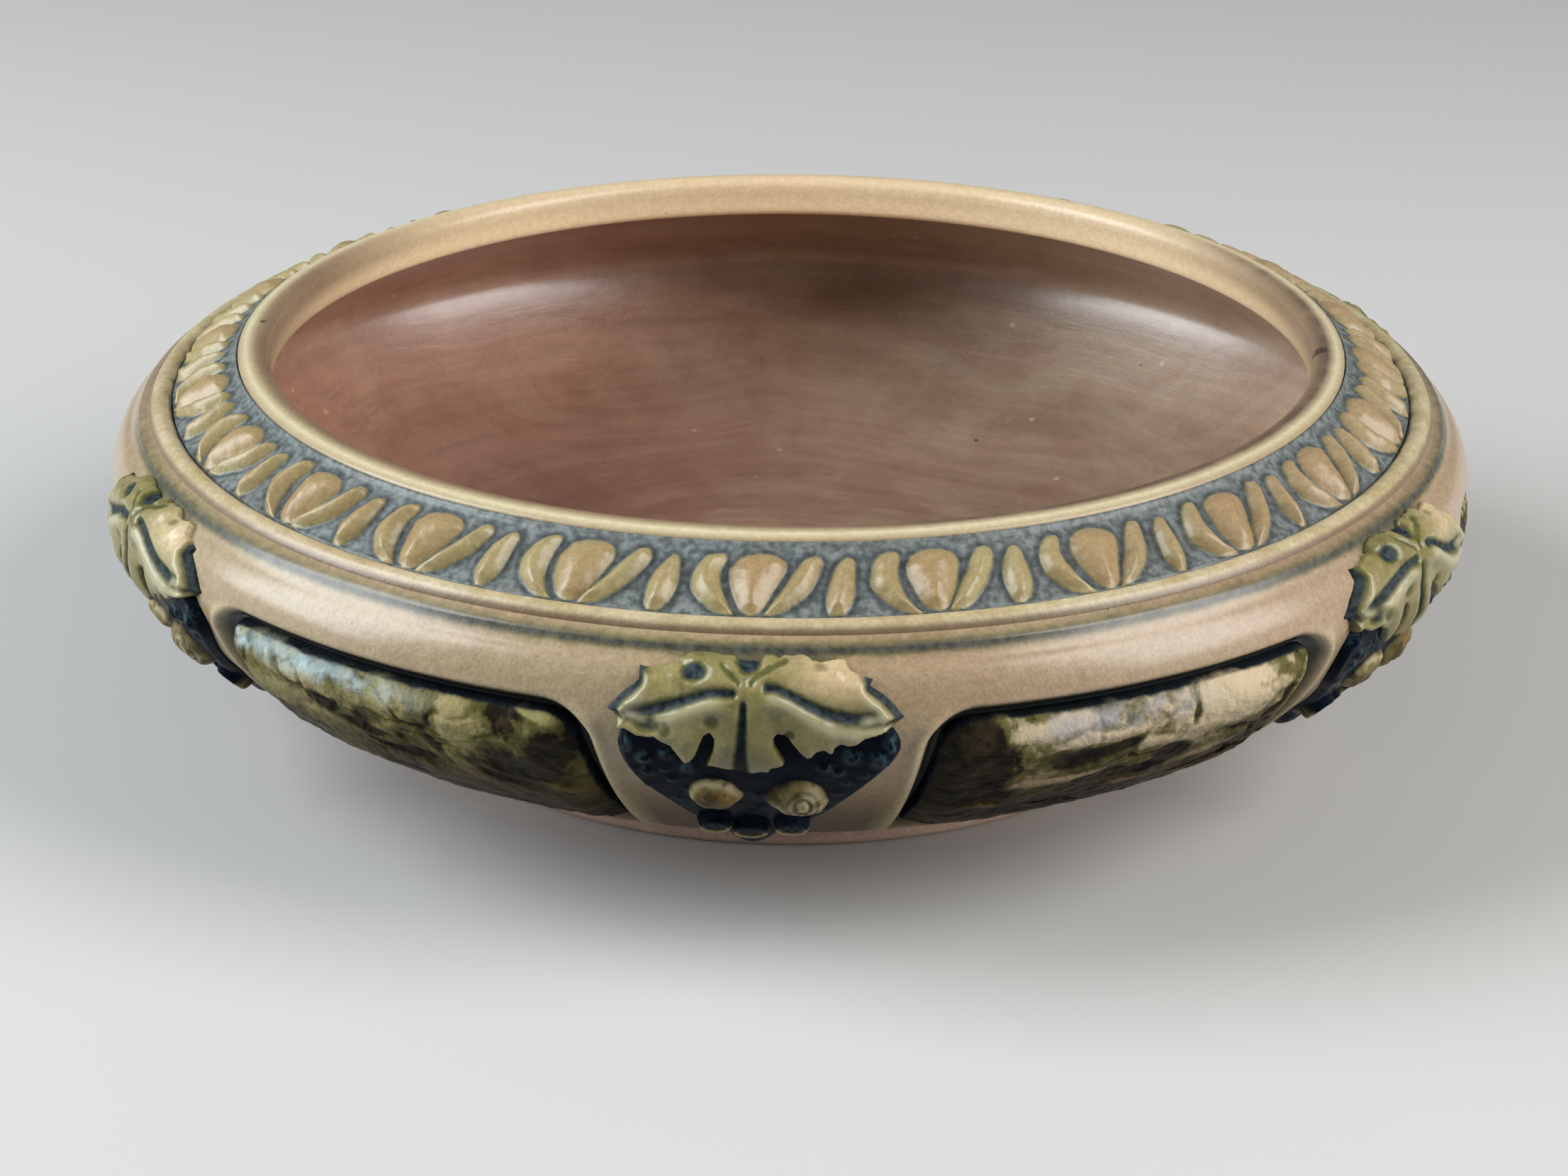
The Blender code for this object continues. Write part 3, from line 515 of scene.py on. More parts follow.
# Shoulder bead. A half-round line turned at the foot of the band. The glaze breaks pale along its crest,
# browns on its lower side, and pools dark above and below it.
bead_profile = [(115.5, 59.0), (115.5, 61.3), (115.9, 61.95), (116.5, 62.5), (117.2, 62.8), (117.9, 62.9)]
bead_profile += [(118.55, 62.75), (119.15, 62.3), (119.6, 61.6), (119.85, 60.9), (119.9, 60.2)]
bead_profile += [(119.8, 59.4), (119.4, 58.4), (117.6, 57.8)]
bead_points = turned(bead_profile, turns(1080))
bead_top = soft(bead_points[..., 2], 61.3, 62.5)
bead_radius = np.hypot(bead_points[..., 0], bead_points[..., 1])
bead_foot = np.maximum(soft(-bead_points[..., 2], -60.8, -60.0), 1 - soft(bead_radius, 115.6, 116.3))
bead = skin("bead_turned", bead_points, loop=True, tones={"pool": bead_foot, "crest": bead_top})
bead_glaze, g = new_glaze("bead_glaze")
gold = g.cloud(25, 3).between(0.3, 0.7).mix((0.22, 0.16, 0.09), (0.22, 0.145, 0.085))
gold = g.tone("crest").mix(gold, g.cloud(6, 3).between(0.3, 0.7).mix((0.58, 0.48, 0.26), (0.70, 0.61, 0.39)))
gold = fired(g, gold)
ragged = g.tone("pool") + (g.cloud(2.5, 4) - 0.5) * 0.5
slate = g.cloud(1.5, 3).between(0.3, 0.7).mix((0.05, 0.06, 0.058), (0.13, 0.15, 0.145))
fire(g, ragged.between(0.3, 0.9).mix(gold, slate), 0.36 + 0.1 * g.cloud(6, 2), orange_peel(g), 0.2)
bead.data.materials.append(bead_glaze)
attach(bead, "root")
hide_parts("shoulder_bead")

# Egg-and-dart band. Pressed relief on the sloping ring between bead and lip: 24 eggs, each between two
# husks, and a dart between one egg and the next. Slate glaze lies in the ground and wears to tan on them.
SLOPE = float(np.hypot(BAND_RUN, BAND_RISE))
EGGS, EGG_COLUMNS, BAND_ROWS, BAND_TURN = 24, 85, 43, radians(-0.34)
# Each form's outline, as places to the right of an egg's middle and down the slope from the lip
EGG = [
    (-3.9, 4.2), (-3.2, 3.2), (-1.2, 2.4), (1.2, 2.2), (3.1, 2.7), (4.3, 3.8), (4.5, 5.2), (3.8, 7.2),
    (2.8, 9.4), (1.8, 11.5), (0.7, 13.4), (-0.6, 14.3), (-1.8, 14.0), (-3.0, 12.9), (-3.9, 10.9),
    (-4.4, 8.9), (-4.6, 6.9), (-4.5, 5.3),
]
LEFT_HUSK = [
    (-7.2, 2.4), (-5.8, 2.4), (-5.5, 3.4), (-6.0, 5.4), (-6.1, 7.2), (-5.8, 9.2), (-5.2, 11.4),
    (-4.3, 13.2), (-3.7, 14.3), (-4.9, 14.4), (-6.4, 14.0), (-8.2, 12.8), (-9.7, 11.2), (-10.7, 9.6),
    (-10.9, 8.0), (-10.5, 6.2), (-9.6, 4.4), (-8.4, 3.0),
]
RIGHT_HUSK = [
    (8.0, 2.7), (9.3, 2.7), (10.0, 3.5), (10.1, 4.6), (9.7, 6.3), (9.0, 8.3), (7.8, 10.3), (6.1, 12.0),
    (4.3, 13.5), (2.2, 14.3), (1.2, 14.3), (1.4, 13.4), (2.2, 11.9), (3.3, 9.9), (4.4, 8.1), (5.4, 6.3),
    (6.5, 4.5), (7.3, 3.4),
]
DART = [
    (0.2, 3.0), (1.05, 3.7), (1.2, 5.4), (1.2, 7.9), (1.05, 10.0), (0.35, 12.0), (-0.9, 14.0),
    (-1.6, 14.3), (-2.4, 14.2), (-2.8, 13.8), (-3.3, 12.5), (-3.5, 10.5), (-3.15, 8.4), (-2.45, 6.4),
    (-1.6, 4.9), (-0.7, 3.6),
]
# A form: its outline, how many egg pitches its middle is moved round, its height, and how far in it is domed
FORMS = ((EGG, 0, 2.1, 4.2), (LEFT_HUSK, 0, 2.0, 2.6), (RIGHT_HUSK, 0, 2.0, 2.6), (DART, -0.5, 1.9, 2.3))
FORMS += ((DART, 0.5, 1.9, 2.3),)


def drawn(outline, steps=4):
    """A smooth closed line through an outline's points.

    Each stretch is a cubic whose direction at a point is that of the chord between the point's neighbours.
    """
    p = np.array(outline, float)
    t = (np.arange(steps) / steps)[None, :, None]
    a, b, c, d = (np.roll(p, shift, 0)[:, None] for shift in (1, 0, -1, -2))
    line = b + 0.5 * t * (c - a + t * (2 * a - 5 * b + 4 * c - d + t * (3 * (b - c) + d - a)))
    return line.reshape(-1, 2)


def pillow(distance, reach):
    """The height, 0 to 1, of a form that rises as a parabola from its edge and is flat from so far in."""
    share = np.clip(distance / reach, 0, 1)
    return share * (2 - share)


down = np.linspace(0, SLOPE, BAND_ROWS)[:, None]
wide = tau / EGGS * (BAND_INNER + down * BAND_RUN / SLOPE)
x = (np.arange(EGG_COLUMNS) / EGG_COLUMNS - 0.5)[None, :] * wide
reliefs, nears, eggs = [], [], []
for number in range(EGGS):
    relief, near = 0 * x, 0 * x - 9
    for outline, shift, tall, reach in FORMS:
        # Both halves of a dart, which lie in two eggs' strips, come from one draw
        draw = np.random.default_rng(168 + (number + (shift > 0)) % EGGS * 5 + len(outline))
        jitter = draw.normal(0, 0.25, (len(outline), 2))
        jitter = (jitter + np.roll(jitter, 1, 0) + np.roll(jitter, -1, 0)) / 3
        points = np.array(outline) + jitter
        points[:, 0] += draw.normal(0, 0.03) * (points[:, 1] - 7)
        within = inside_distance(x - shift * wide, down, drawn(points))
        relief, near = np.maximum(relief, tall * pillow(within + 0.1, reach)), np.maximum(near, within)
        if outline is EGG:
            eggs.append(soft(within, -0.2, 0.2))
    reliefs.append(relief)
    nears.append(near)
relief, near, eggs = (np.concatenate(parts, 1) for parts in (reliefs, nears, eggs))
columns = EGGS * EGG_COLUMNS
band_angle = ((np.arange(columns) - EGG_COLUMNS / 2) / columns * tau + BAND_TURN)[None, :]
arc_side = band_angle * 110
relief = relief + 0.10 * lumps(arc_side + 400, down + 20, 2.2, 31, 2) * soft(relief, 0, 0.6)
relief = relief + 0.06 * lumps(arc_side + 400, down + 20, 1.1, 33)
edging = 0.5 * soft(-down, -1.2, 0.0) + 0.35 * soft(down, SLOPE - 0.9, SLOPE)
lift = relief + edging * soft(-relief, -0.3, 0.1)
outwards = lift * BAND_RISE / SLOPE * np.clip((SLOPE - down) / 2, 0, 1)
band_radius = BAND_INNER + down * BAND_RUN / SLOPE + outwards
band_height = BAND_TOP - down * BAND_RISE / SLOPE + lift * BAND_RUN / SLOPE
under_radius = np.array([[BAND_INNER + BAND_RUN], [109.0], [BAND_INNER]]) + 0 * band_angle
band_radius = np.concatenate([band_radius, under_radius])
band_height = np.concatenate([band_height, seat_height(under_radius) + 0.35])
band_x, band_y = band_radius * np.sin(band_angle), -band_radius * np.cos(band_angle)
band_points = np.stack([band_x, band_y, band_height], -1)
tones = {"pool": 1 - soft(near, -0.45, 0.4), "gutter": hump(near + 0.5, 0.6), "egg": eggs}
tones["crest"] = soft(relief, 1.2, 2.0)
tones = {key: np.concatenate([value, 0 * under_radius + (key == "pool")]) for key, value in tones.items()}
band = skin("band_relief", band_points, loop=True, tones=tones)
band_glaze, g = new_glaze("band_glaze")
tan = g.tone("egg").mix((0.45, 0.385, 0.185), (0.46, 0.36, 0.175))
tan = (g.cloud(9, 2).between(0.35, 0.65) * 0.6).mix(tan, tan.tint((0.98, 0.88, 0.86)))
tan = (g.axis(0).between(20, 110) * 0.5).mix(tan, (0.45, 0.32, 0.20))
tan = (g.tone("crest") * 0.3).mix(tan, tan.tint((1.05, 0.96, 0.92)))
tan = fired(g, tan)
ragged = g.tone("pool") + (g.cloud(1.4, 4) - 0.5) * 0.5
slate = g.cloud(1.3, 4).between(0.3, 0.7).mix((0.075, 0.092, 0.092), (0.22, 0.25, 0.25))
slate = (g.tone("gutter") * 0.8).mix(slate, slate.tint((0.30, 0.32, 0.34)))
green = ragged.between(0.05, 0.5).mix(tan, tan.tint((0.58, 0.66, 0.50)))
dull = 0.36 + 0.1 * g.cloud(4, 2) + ragged.between(0.3, 0.8) * 0.25
fire(g, ragged.between(0.35, 0.8).mix(green, slate), dull, orange_peel(g), 0.22)
band.data.materials.append(band_glaze)
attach(band, "root")
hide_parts("egg_and_dart_band")

# Rim lip. A rolled edge turned round the mouth. The glaze has drawn back to pale yellow along its outer
# crest, lies brown on its inner half, and rounds over into the bowl. It has two chips or stains on each side.
LIP_CREST_RADIUS, LIP_RING_RADIUS = 101.9, 99.7
# A mark is a chip or a stain: the place of its middle and its reach
LIP_MARKS = ((92.6, 15.2, 70.6, 2.6), (-99.8, -2.9, 71.2, 0.9))
LIP_MARKS += ((-93.7, -27.3, 71.0, 1.0), (98.2, -7.0, 71.0, 2.2))
lip_profile = [(103.35, 63.0), (103.35, 69.3)] + arc((102.5, 69.9), 0.8, -10, 75, 6)
lip_profile += [(101.8, 70.95), (100.8, 71.15), (99.9, 71.25), (99.0, 71.15), (98.2, 70.8), (97.65, 70.2)]
lip_profile += [(97.35, 69.4), (97.3, 68.0), (97.3, 65.5)] + arc((98.8, 64.5), 1.5, 180, 270, 6)
lip_points = turned(lip_profile, turns(1080))
lip_radius = np.array(lip_profile)[:, :1] + 0 * lip_points[..., 0]
lip_x, lip_y, lip_height = (lip_points[..., k] for k in range(3))
lip_tones = {"crest": hump(lip_radius - LIP_CREST_RADIUS, 1.0) * soft(lip_height, 68.5, 70.3)}
lip_tones["pool"] = soft(-lip_height, -70.0, -67.5) * soft(lip_radius, 102.5, 102.9)
lip_tones["stain"] = soft(-lip_radius, -100.9, -99.3) * soft(lip_height, 66.0, 68.5)
lip_tones["ring"] = hump(lip_radius - LIP_RING_RADIUS, 1.0) * soft(lip_x, -10, 40) * soft(-lip_y, -70, -30)
lip = skin("lip_rolled", lip_points, loop=True, tones=lip_tones)
lip_glaze, g = new_glaze("lip_glaze")
gold = g.cloud(22, 3).between(0.3, 0.7).mix((0.42, 0.33, 0.18), (0.42, 0.30, 0.175))
inner_brown = g.cloud(18, 3).between(0.3, 0.7).mix((0.29, 0.20, 0.12), (0.24, 0.155, 0.10))
# Painted light: the lip is paler towards the back, where its lit inner face is seen, and its brown stain is
# weaker there
gold = g.axis(1).between(-10, 80).mix(gold, (0.92, 0.73, 0.46))
sides = g.axis(1).between(75, 20) * 0.65 + 0.22
gold = (g.tone("stain") * sides).mix(gold, inner_brown)
gold = (g.tone("crest") * 0.9).mix(gold, (0.84, 0.77, 0.50))
gold = (g.tone("ring") * (g.cloud(9, 3).between(0.3, 0.6) * 0.45 + 0.5)).mix(gold, (0.115, 0.07, 0.055))
gold = fired(g, gold, 0.6)
for *middle, reach in LIP_MARKS:
    inputs = {0: g.place(), 1: [value / 1000 for value in middle]}
    away = g.add("VectorMath", {"operation": "DISTANCE"}, inputs, 1)
    mark = (away * 1000.0 + (g.cloud(1.5, 2) - 0.5) * 1.6).between(reach, 0.55 * reach)
    gold = (mark * 0.85).mix(gold, (0.05, 0.032, 0.022))
ragged = g.tone("pool") + (g.cloud(2, 3) - 0.5) * 0.4
gold = ragged.between(0.3, 0.8).mix(gold, (0.13, 0.15, 0.14))
fire(g, gold, 0.35 + 0.1 * g.cloud(6, 2), orange_peel(g), 0.2)
lip.data.materials.append(lip_glaze)
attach(lip, "root")
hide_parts("rim_lip")

# Bark panels. Six pillows of rough bark, pressed in the same clay and lying in the sunk panels with a groove
# round each. Cream, olive and brown glazes were dabbed on and flowed into the cracks.
LEFT_PANEL, RIGHT_PANEL = 5, 0
# How far the bark's crown and rim stand off the wall, and how far its edge lies inside the panel's
BARK_CROWN, BARK_RIM, BARK_INSET = 1.6, -1.4, 2.4
# The panels to the left and the right of the front have dabs of their own, and the other four random ones.
# A dab: its place across and along the panel, its reach both ways, its turn in degrees and how dark it is
DAB_COUNT, LEAST_DAB, MOST_DAB = 26, (-33, 28, 3, 1, -12, -0.5), (33, 64, 9, 3, 12, 0.6)
DABS = {
    LEFT_PANEL: [
        (-4.5, 52.9, 5.5, 1.3, -5, 0.55), (2.1, 48.4, 6.5, 1.3, -8, 0.6), (31.0, 56.6, 3.2, 5.0, 0, 0.55),
        (36.6, 60.5, 2.0, 5.0, 0, 0.4), (-12.2, 56.4, 3.2, 1.8, -10, 0.5), (18.6, 46.1, 5.5, 1.8, -10, 0.45),
        (-13.7, 31.4, 6.0, 1.6, 0, 0.4), (-27.5, 37.6, 6.0, 2.0, 0, 0.45), (-6.2, 28.7, 6.0, 1.5, 0, 0.4),
        (25.0, 50.0, 7.0, 4.0, -15, 0.4), (24.5, 62.0, 2.5, 3.5, 0, 0.3), (9.2, 52.0, 1.1, 5.5, 8, 0.35),
        (-26.6, 53.8, 6.0, 3.5, -5, -0.4), (15.6, 58.5, 3.2, 6.0, 4, -0.5), (-12.0, 52.6, 5.0, 1.2, -5, -0.3),
        (4.5, 60.9, 6.0, 2.5, 0, -0.2), (29.8, 63.6, 4.5, 0.9, -8, -0.6), (-12.5, 39.7, 7.0, 1.3, 0, -0.35),
        (13.0, 47.0, 2.2, 6.0, 24, -0.35), (-18.0, 61.0, 6.0, 2.0, 0, -0.25),
        (30.0, 46.0, 5.0, 1.0, -20, -0.3),
    ],
    RIGHT_PANEL: [
        (-33.0, 61.5, 5.0, 4.0, 0, 0.5), (-30.1, 55.8, 6.0, 6.5, 0, 0.55), (-29.2, 45.9, 8.0, 6.0, 0, 0.5),
        (-11.8, 54.2, 5.0, 2.0, 8, 0.55), (7.9, 49.6, 3.4, 1.9, 0, 0.7), (8.3, 60.0, 0.8, 2.6, 5, 0.5),
        (3.1, 46.0, 6.5, 1.5, 8, 0.5), (-10.0, 36.9, 17.0, 3.6, 3, 0.45), (-5.3, 55.2, 4.0, 1.5, 5, 0.4),
        (29.5, 57.0, 1.4, 2.6, 0, 0.25), (27.8, 53.6, 3.0, 0.8, 30, 0.45), (20.8, 51.6, 3.0, 0.7, -20, 0.4),
        (17.0, 41.0, 8.0, 0.9, 10, 0.45), (-17.5, 62.0, 8.0, 1.5, 3, -0.45), (15.6, 59.5, 9.0, 5.0, 0, -0.4),
        (2.5, 54.3, 3.5, 1.6, 0, -0.45), (21.0, 35.8, 8.0, 1.4, 12, -0.4), (-14.9, 48.2, 8.0, 1.2, 6, -0.45),
        (-12.0, 58.3, 6.0, 1.1, 8, -0.4), (-24.0, 40.5, 4.0, 0.9, -5, -0.3), (14.5, 46.5, 6.0, 1.3, 12, -0.3),
        (0.0, 41.5, 7.0, 1.0, 8, -0.3),
    ],
}
bark_glaze, g = new_glaze("bark_glaze")
shade = g.tone("shade") + (g.cloud(3.6, 5, distortion=0.6) - 0.5) * 0.7 + (g.cloud(1.1, 3) - 0.5) * 0.35
cream = g.cloud(12, 3).between(0.35, 0.65).mix((0.34, 0.32, 0.13), (0.43, 0.345, 0.18))
cream = (g.axis(0).between(0, 60) * 0.8).mix(cream, (0.73, 0.59, 0.41))
olive = g.cloud(6, 4).between(0.35, 0.65).mix((0.10, 0.092, 0.03), (0.20, 0.175, 0.06))
brown = g.cloud(3, 4).between(0.35, 0.65).mix((0.016, 0.014, 0.010), (0.05, 0.037, 0.02))
colour = shade.between(0.22, 0.50).mix(cream, olive)
colour = shade.between(0.50, 0.68).mix(colour, brown)
colour = (g.tone("rust") * g.cloud(3, 3).between(0.4, 0.6) * 0.7).mix(colour, (0.12, 0.055, 0.03))
# Painted reflection: a pale bluish sheen of the lamp is painted along the panels' upper edges
painted_sheen = g.tone("painted_sheen") * g.cloud(4, 4).between(0.3, 0.6)
# Painted shade: the bark darkens towards its lower end
colour = (g.axis(2).between(43, 27) * 0.92).mix(colour, colour.tint((0.22, 0.165, 0.11)))
colour = (painted_sheen * 0.8).mix(colour, g.axis(0).between(-60, 0).mix((0.54, 0.70, 0.76), (0.46, 0.44, 0.47)))
ragged = g.tone("pool") + (g.cloud(2, 3) - 0.5) * 0.4
colour = ragged.between(0.35, 0.9).mix(colour, (0.008, 0.012, 0.016))
bumps = orange_peel(g) + g.cloud(1.8, 4) * 0.8 + g.cloud(6, 5, g.place((0.6, 0.6, 1)), 0.8) * 1.2
fire(g, colour, 0.30 + 0.12 * g.cloud(4, 3), bumps, 0.4, 0.0, 0.03)


def in_the_wall(angle, along):
    """Points inside the wall, where a sprig or a panel is closed behind."""
    return on_wall(angle, along, -BACK_DEPTH)


def pressed(x, y, size, seed, octaves=1):
    """The unevenness of clay pressed by hand: the same noise, its table's corner 300 mm away."""
    return lumps(x + 300, y + 300, size, seed, octaves)


outline = panel_outline(BARK_INSET)
low, high = outline[:, 1].min(), outline[:, 1].max()
widest = np.abs(outline[:, 0]).max()
across = np.linspace(-widest - 0.6, widest + 0.6, 320)
across, up = np.meshgrid(across, np.linspace(high + 0.6, low - 0.6, 176))
inside = inside_distance(across, up, outline)
for number in range(SPRIGS):
    seed = 100 + 10 * number
    draw = np.random.default_rng(seed)
    spots = [draw.uniform(LEAST_DAB, MOST_DAB) for _ in range(DAB_COUNT)]
    bend_x, bend_y = (2.2 * pressed(across, up, 9, seed + key, 2) for key in (6, 7))
    dabs = 0 * across
    for x, y, long, tall, lean, amount in DABS.get(number, spots):
        lean_cos, lean_sin = cos(radians(lean)), sin(radians(lean))
        beyond, over = across + bend_x * 0.6 - x, up + bend_y * 0.5 - y
        lengthwise, crosswise = beyond * lean_cos + over * lean_sin, over * lean_cos - beyond * lean_sin
        dabs = dabs + amount * np.exp(-(np.hypot(lengthwise / long, crosswise / tall) ** 3))
    edge = inside + 0.5 * pressed(across, up, 4, seed + 1, 2)
    body = pillow(edge + 0.3, 5.5)
    grain = pressed((across + bend_x) * 0.6, up + bend_y, 4.0, seed + 2, 2)
    cracks = soft(1 - np.abs(grain) * 5, 0, 1) * soft(pressed(across, up, 12, seed + 3), 0.0, 0.4)
    crown = BARK_CROWN * (0.35 + 0.65 * soft(up, 24, 42))
    rough = 0.9 * np.clip(-dabs, -0.6, 0.6) - 0.35 * cracks + 0.28 * grain
    rough = rough + 0.14 * pressed(across, up, 1.6, seed + 4, 2)
    lift = BARK_RIM + (crown - BARK_RIM) * body + body * rough
    lift = np.where(inside < -0.3, -BACK_DEPTH, lift)
    shade = 0.46 + dabs + 0.16 * cracks + 0.16 * pressed(across * 0.7, up, 9, seed + 5, 2)
    # Painted shade: the bark's lower end is made darker
    shade = shade + 0.22 * soft(-up, -42, -28)
    # A painted sheen, the lamp's reflection painted in pale blue, lies along the upper edge, on one half of
    # it
    if number == RIGHT_PANEL:
        painted_sheen = hump(up - high + 2.2, 1.9) * soft(across, -26, -18) * soft(-across, -20, 0)
    else:
        half = -across if number == LEFT_PANEL else across
        painted_sheen = hump(up - high + 1.8, 1.7 + 0.6 * pressed(across, up, 8, seed + 8)) * soft(half, -16, 12)
    rust = hump(np.hypot((across - 16.4) / 1.6, (up - 39) / 0.9), 5.0)
    angle = (number + 0.5) * SECTOR + across / wall_radius(up)
    tones = {"shade": shade, "painted_sheen": painted_sheen, "rust": rust, "pool": 1 - pillow(edge + 0.2, 1.8)}
    panel = skin(
        f"bark_{number + 1}", on_wall(angle, up, lift), ring=False, keep=inside > -0.3,
        flat=(angle, up), under=in_the_wall, tones=tones,
    )
    panel.data.materials.append(bark_glaze)
    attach(panel, "root")
    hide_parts(f"bark_panel_{number + 1}")

# Grape clusters. Six low mounds of small round grapes under a dark blue-black glaze that has run over them,
# with two larger olive fruits below the leaf and three half-round rims at the tip, modelled in the clay of
# the wall. Every outline is in places to the right of the sprig's middle and up along the wall.
MOUND = [
    (-20.9, 65.2), (-21.7, 63.4), (-22.3, 60.6), (-21.8, 57.0), (-20.6, 53.6), (-18.9, 50.4),
    (-16.3, 47.0), (-13.6, 42.6), (-11.0, 38.4), (-9.2, 35.0), (-7.0, 32.4), (-5.2, 28.2), (-2.6, 24.6),
    (-0.9, 24.4), (1.6, 27.6), (4.2, 32.0), (7.4, 34.6), (9.0, 38.6), (12.0, 43.0), (15.4, 48.4),
    (18.6, 53.0), (21.4, 57.2), (22.8, 60.4), (22.4, 63.2), (20.9, 65.4), (19.4, 66.3), (16.0, 66.5),
    (8.0, 66.5), (0.0, 66.5), (-8.0, 66.5), (-16.0, 66.5), (-19.4, 66.3),
]
# Grapes and rims: the place of the middle, and the radius
GRAPES = [
    (-17.8, 58.9, 2.0), (-14.1, 60.3, 1.9), (-17.2, 55.7, 1.8), (-14.6, 56.7, 1.5), (-13.5, 53.9, 1.5),
    (-20.6, 61.5, 1.9), (-11.2, 51.3, 1.4), (-10.8, 57.3, 1.9), (-12.6, 47.6, 1.4), (-17.6, 51.6, 1.3),
    (19.5, 59.7, 2.6), (17.0, 56.1, 1.6), (14.2, 54.1, 1.5), (10.7, 58.2, 2.0), (21.2, 62.3, 2.0),
    (15.0, 60.5, 2.3), (12.6, 50.6, 1.4), (12.9, 57.0, 1.8), (0.4, 50.4, 1.7), (0.2, 45.6, 1.6),
    (10.2, 44.4, 1.3),
]
RIMS = [(-7.3, 38.6, 2.8), (-1.6, 36.4, 3.1), (5.1, 38.4, 2.9)]
# The fruits: the place of the middle, half the width, half the length and the rise
FRUITS = [(-7.0, 50.0, 4.5, 4.6, 3.9), (6.2, 49.3, 5.1, 5.2, 4.4)]
grape_glaze, g = new_glaze("grape_glaze")
blue = g.cloud(5, 3).between(0.3, 0.7).mix((0.002, 0.004, 0.008), (0.004, 0.010, 0.022))
# Painted highlight: pale teal glints on the grapes, where the crest tone is
painted_glint = g.tone("crest") * g.cloud(1.6, 4).between(0.42, 0.58)
blue = (painted_glint * 0.75).mix(blue, (0.05, 0.095, 0.11))
blue = g.tone("rim").mix(blue, (0.70, 0.60, 0.30))
fruit = g.cloud(3, 4).between(0.35, 0.65).mix((0.16, 0.125, 0.045), (0.28, 0.22, 0.10))
fruit = (g.tone("pale") * g.cloud(3, 2).between(0.2, 0.5)).mix(fruit, (0.57, 0.51, 0.32))
fruit = (g.cloud(4, 3, g.place(shift=(0.1, 0.1, 0))).between(0.5, 0.7) * 0.7).mix(fruit, (0.30, 0.14, 0.04))
fruit = (g.cloud(2.6, 4, g.place(shift=(0.3, 0, 0))).between(0.5, 0.62) * 0.7).mix(fruit, (0.06, 0.05, 0.02))
fruit = g.tone("hollow").mix(fruit, (0.04, 0.036, 0.016))
fire(g, g.tone("fruit").mix(blue, fruit), 0.26 + 0.1 * g.cloud(3, 2), orange_peel(g), 0.1, 0.0, 0.03)
grape_x, grape_y = np.meshgrid(np.linspace(-25.5, 25, 220), np.linspace(68, 23, 200))
mound_inside = inside_distance(grape_x, grape_y, drawn(MOUND))
mound = 1.9 * pillow(mound_inside, 3.4) + 1.7 * soft(-grape_y, -40, -28) * soft(mound_inside, 0, 1.6)
inset = soft(mound_inside, -0.35, 0.1)
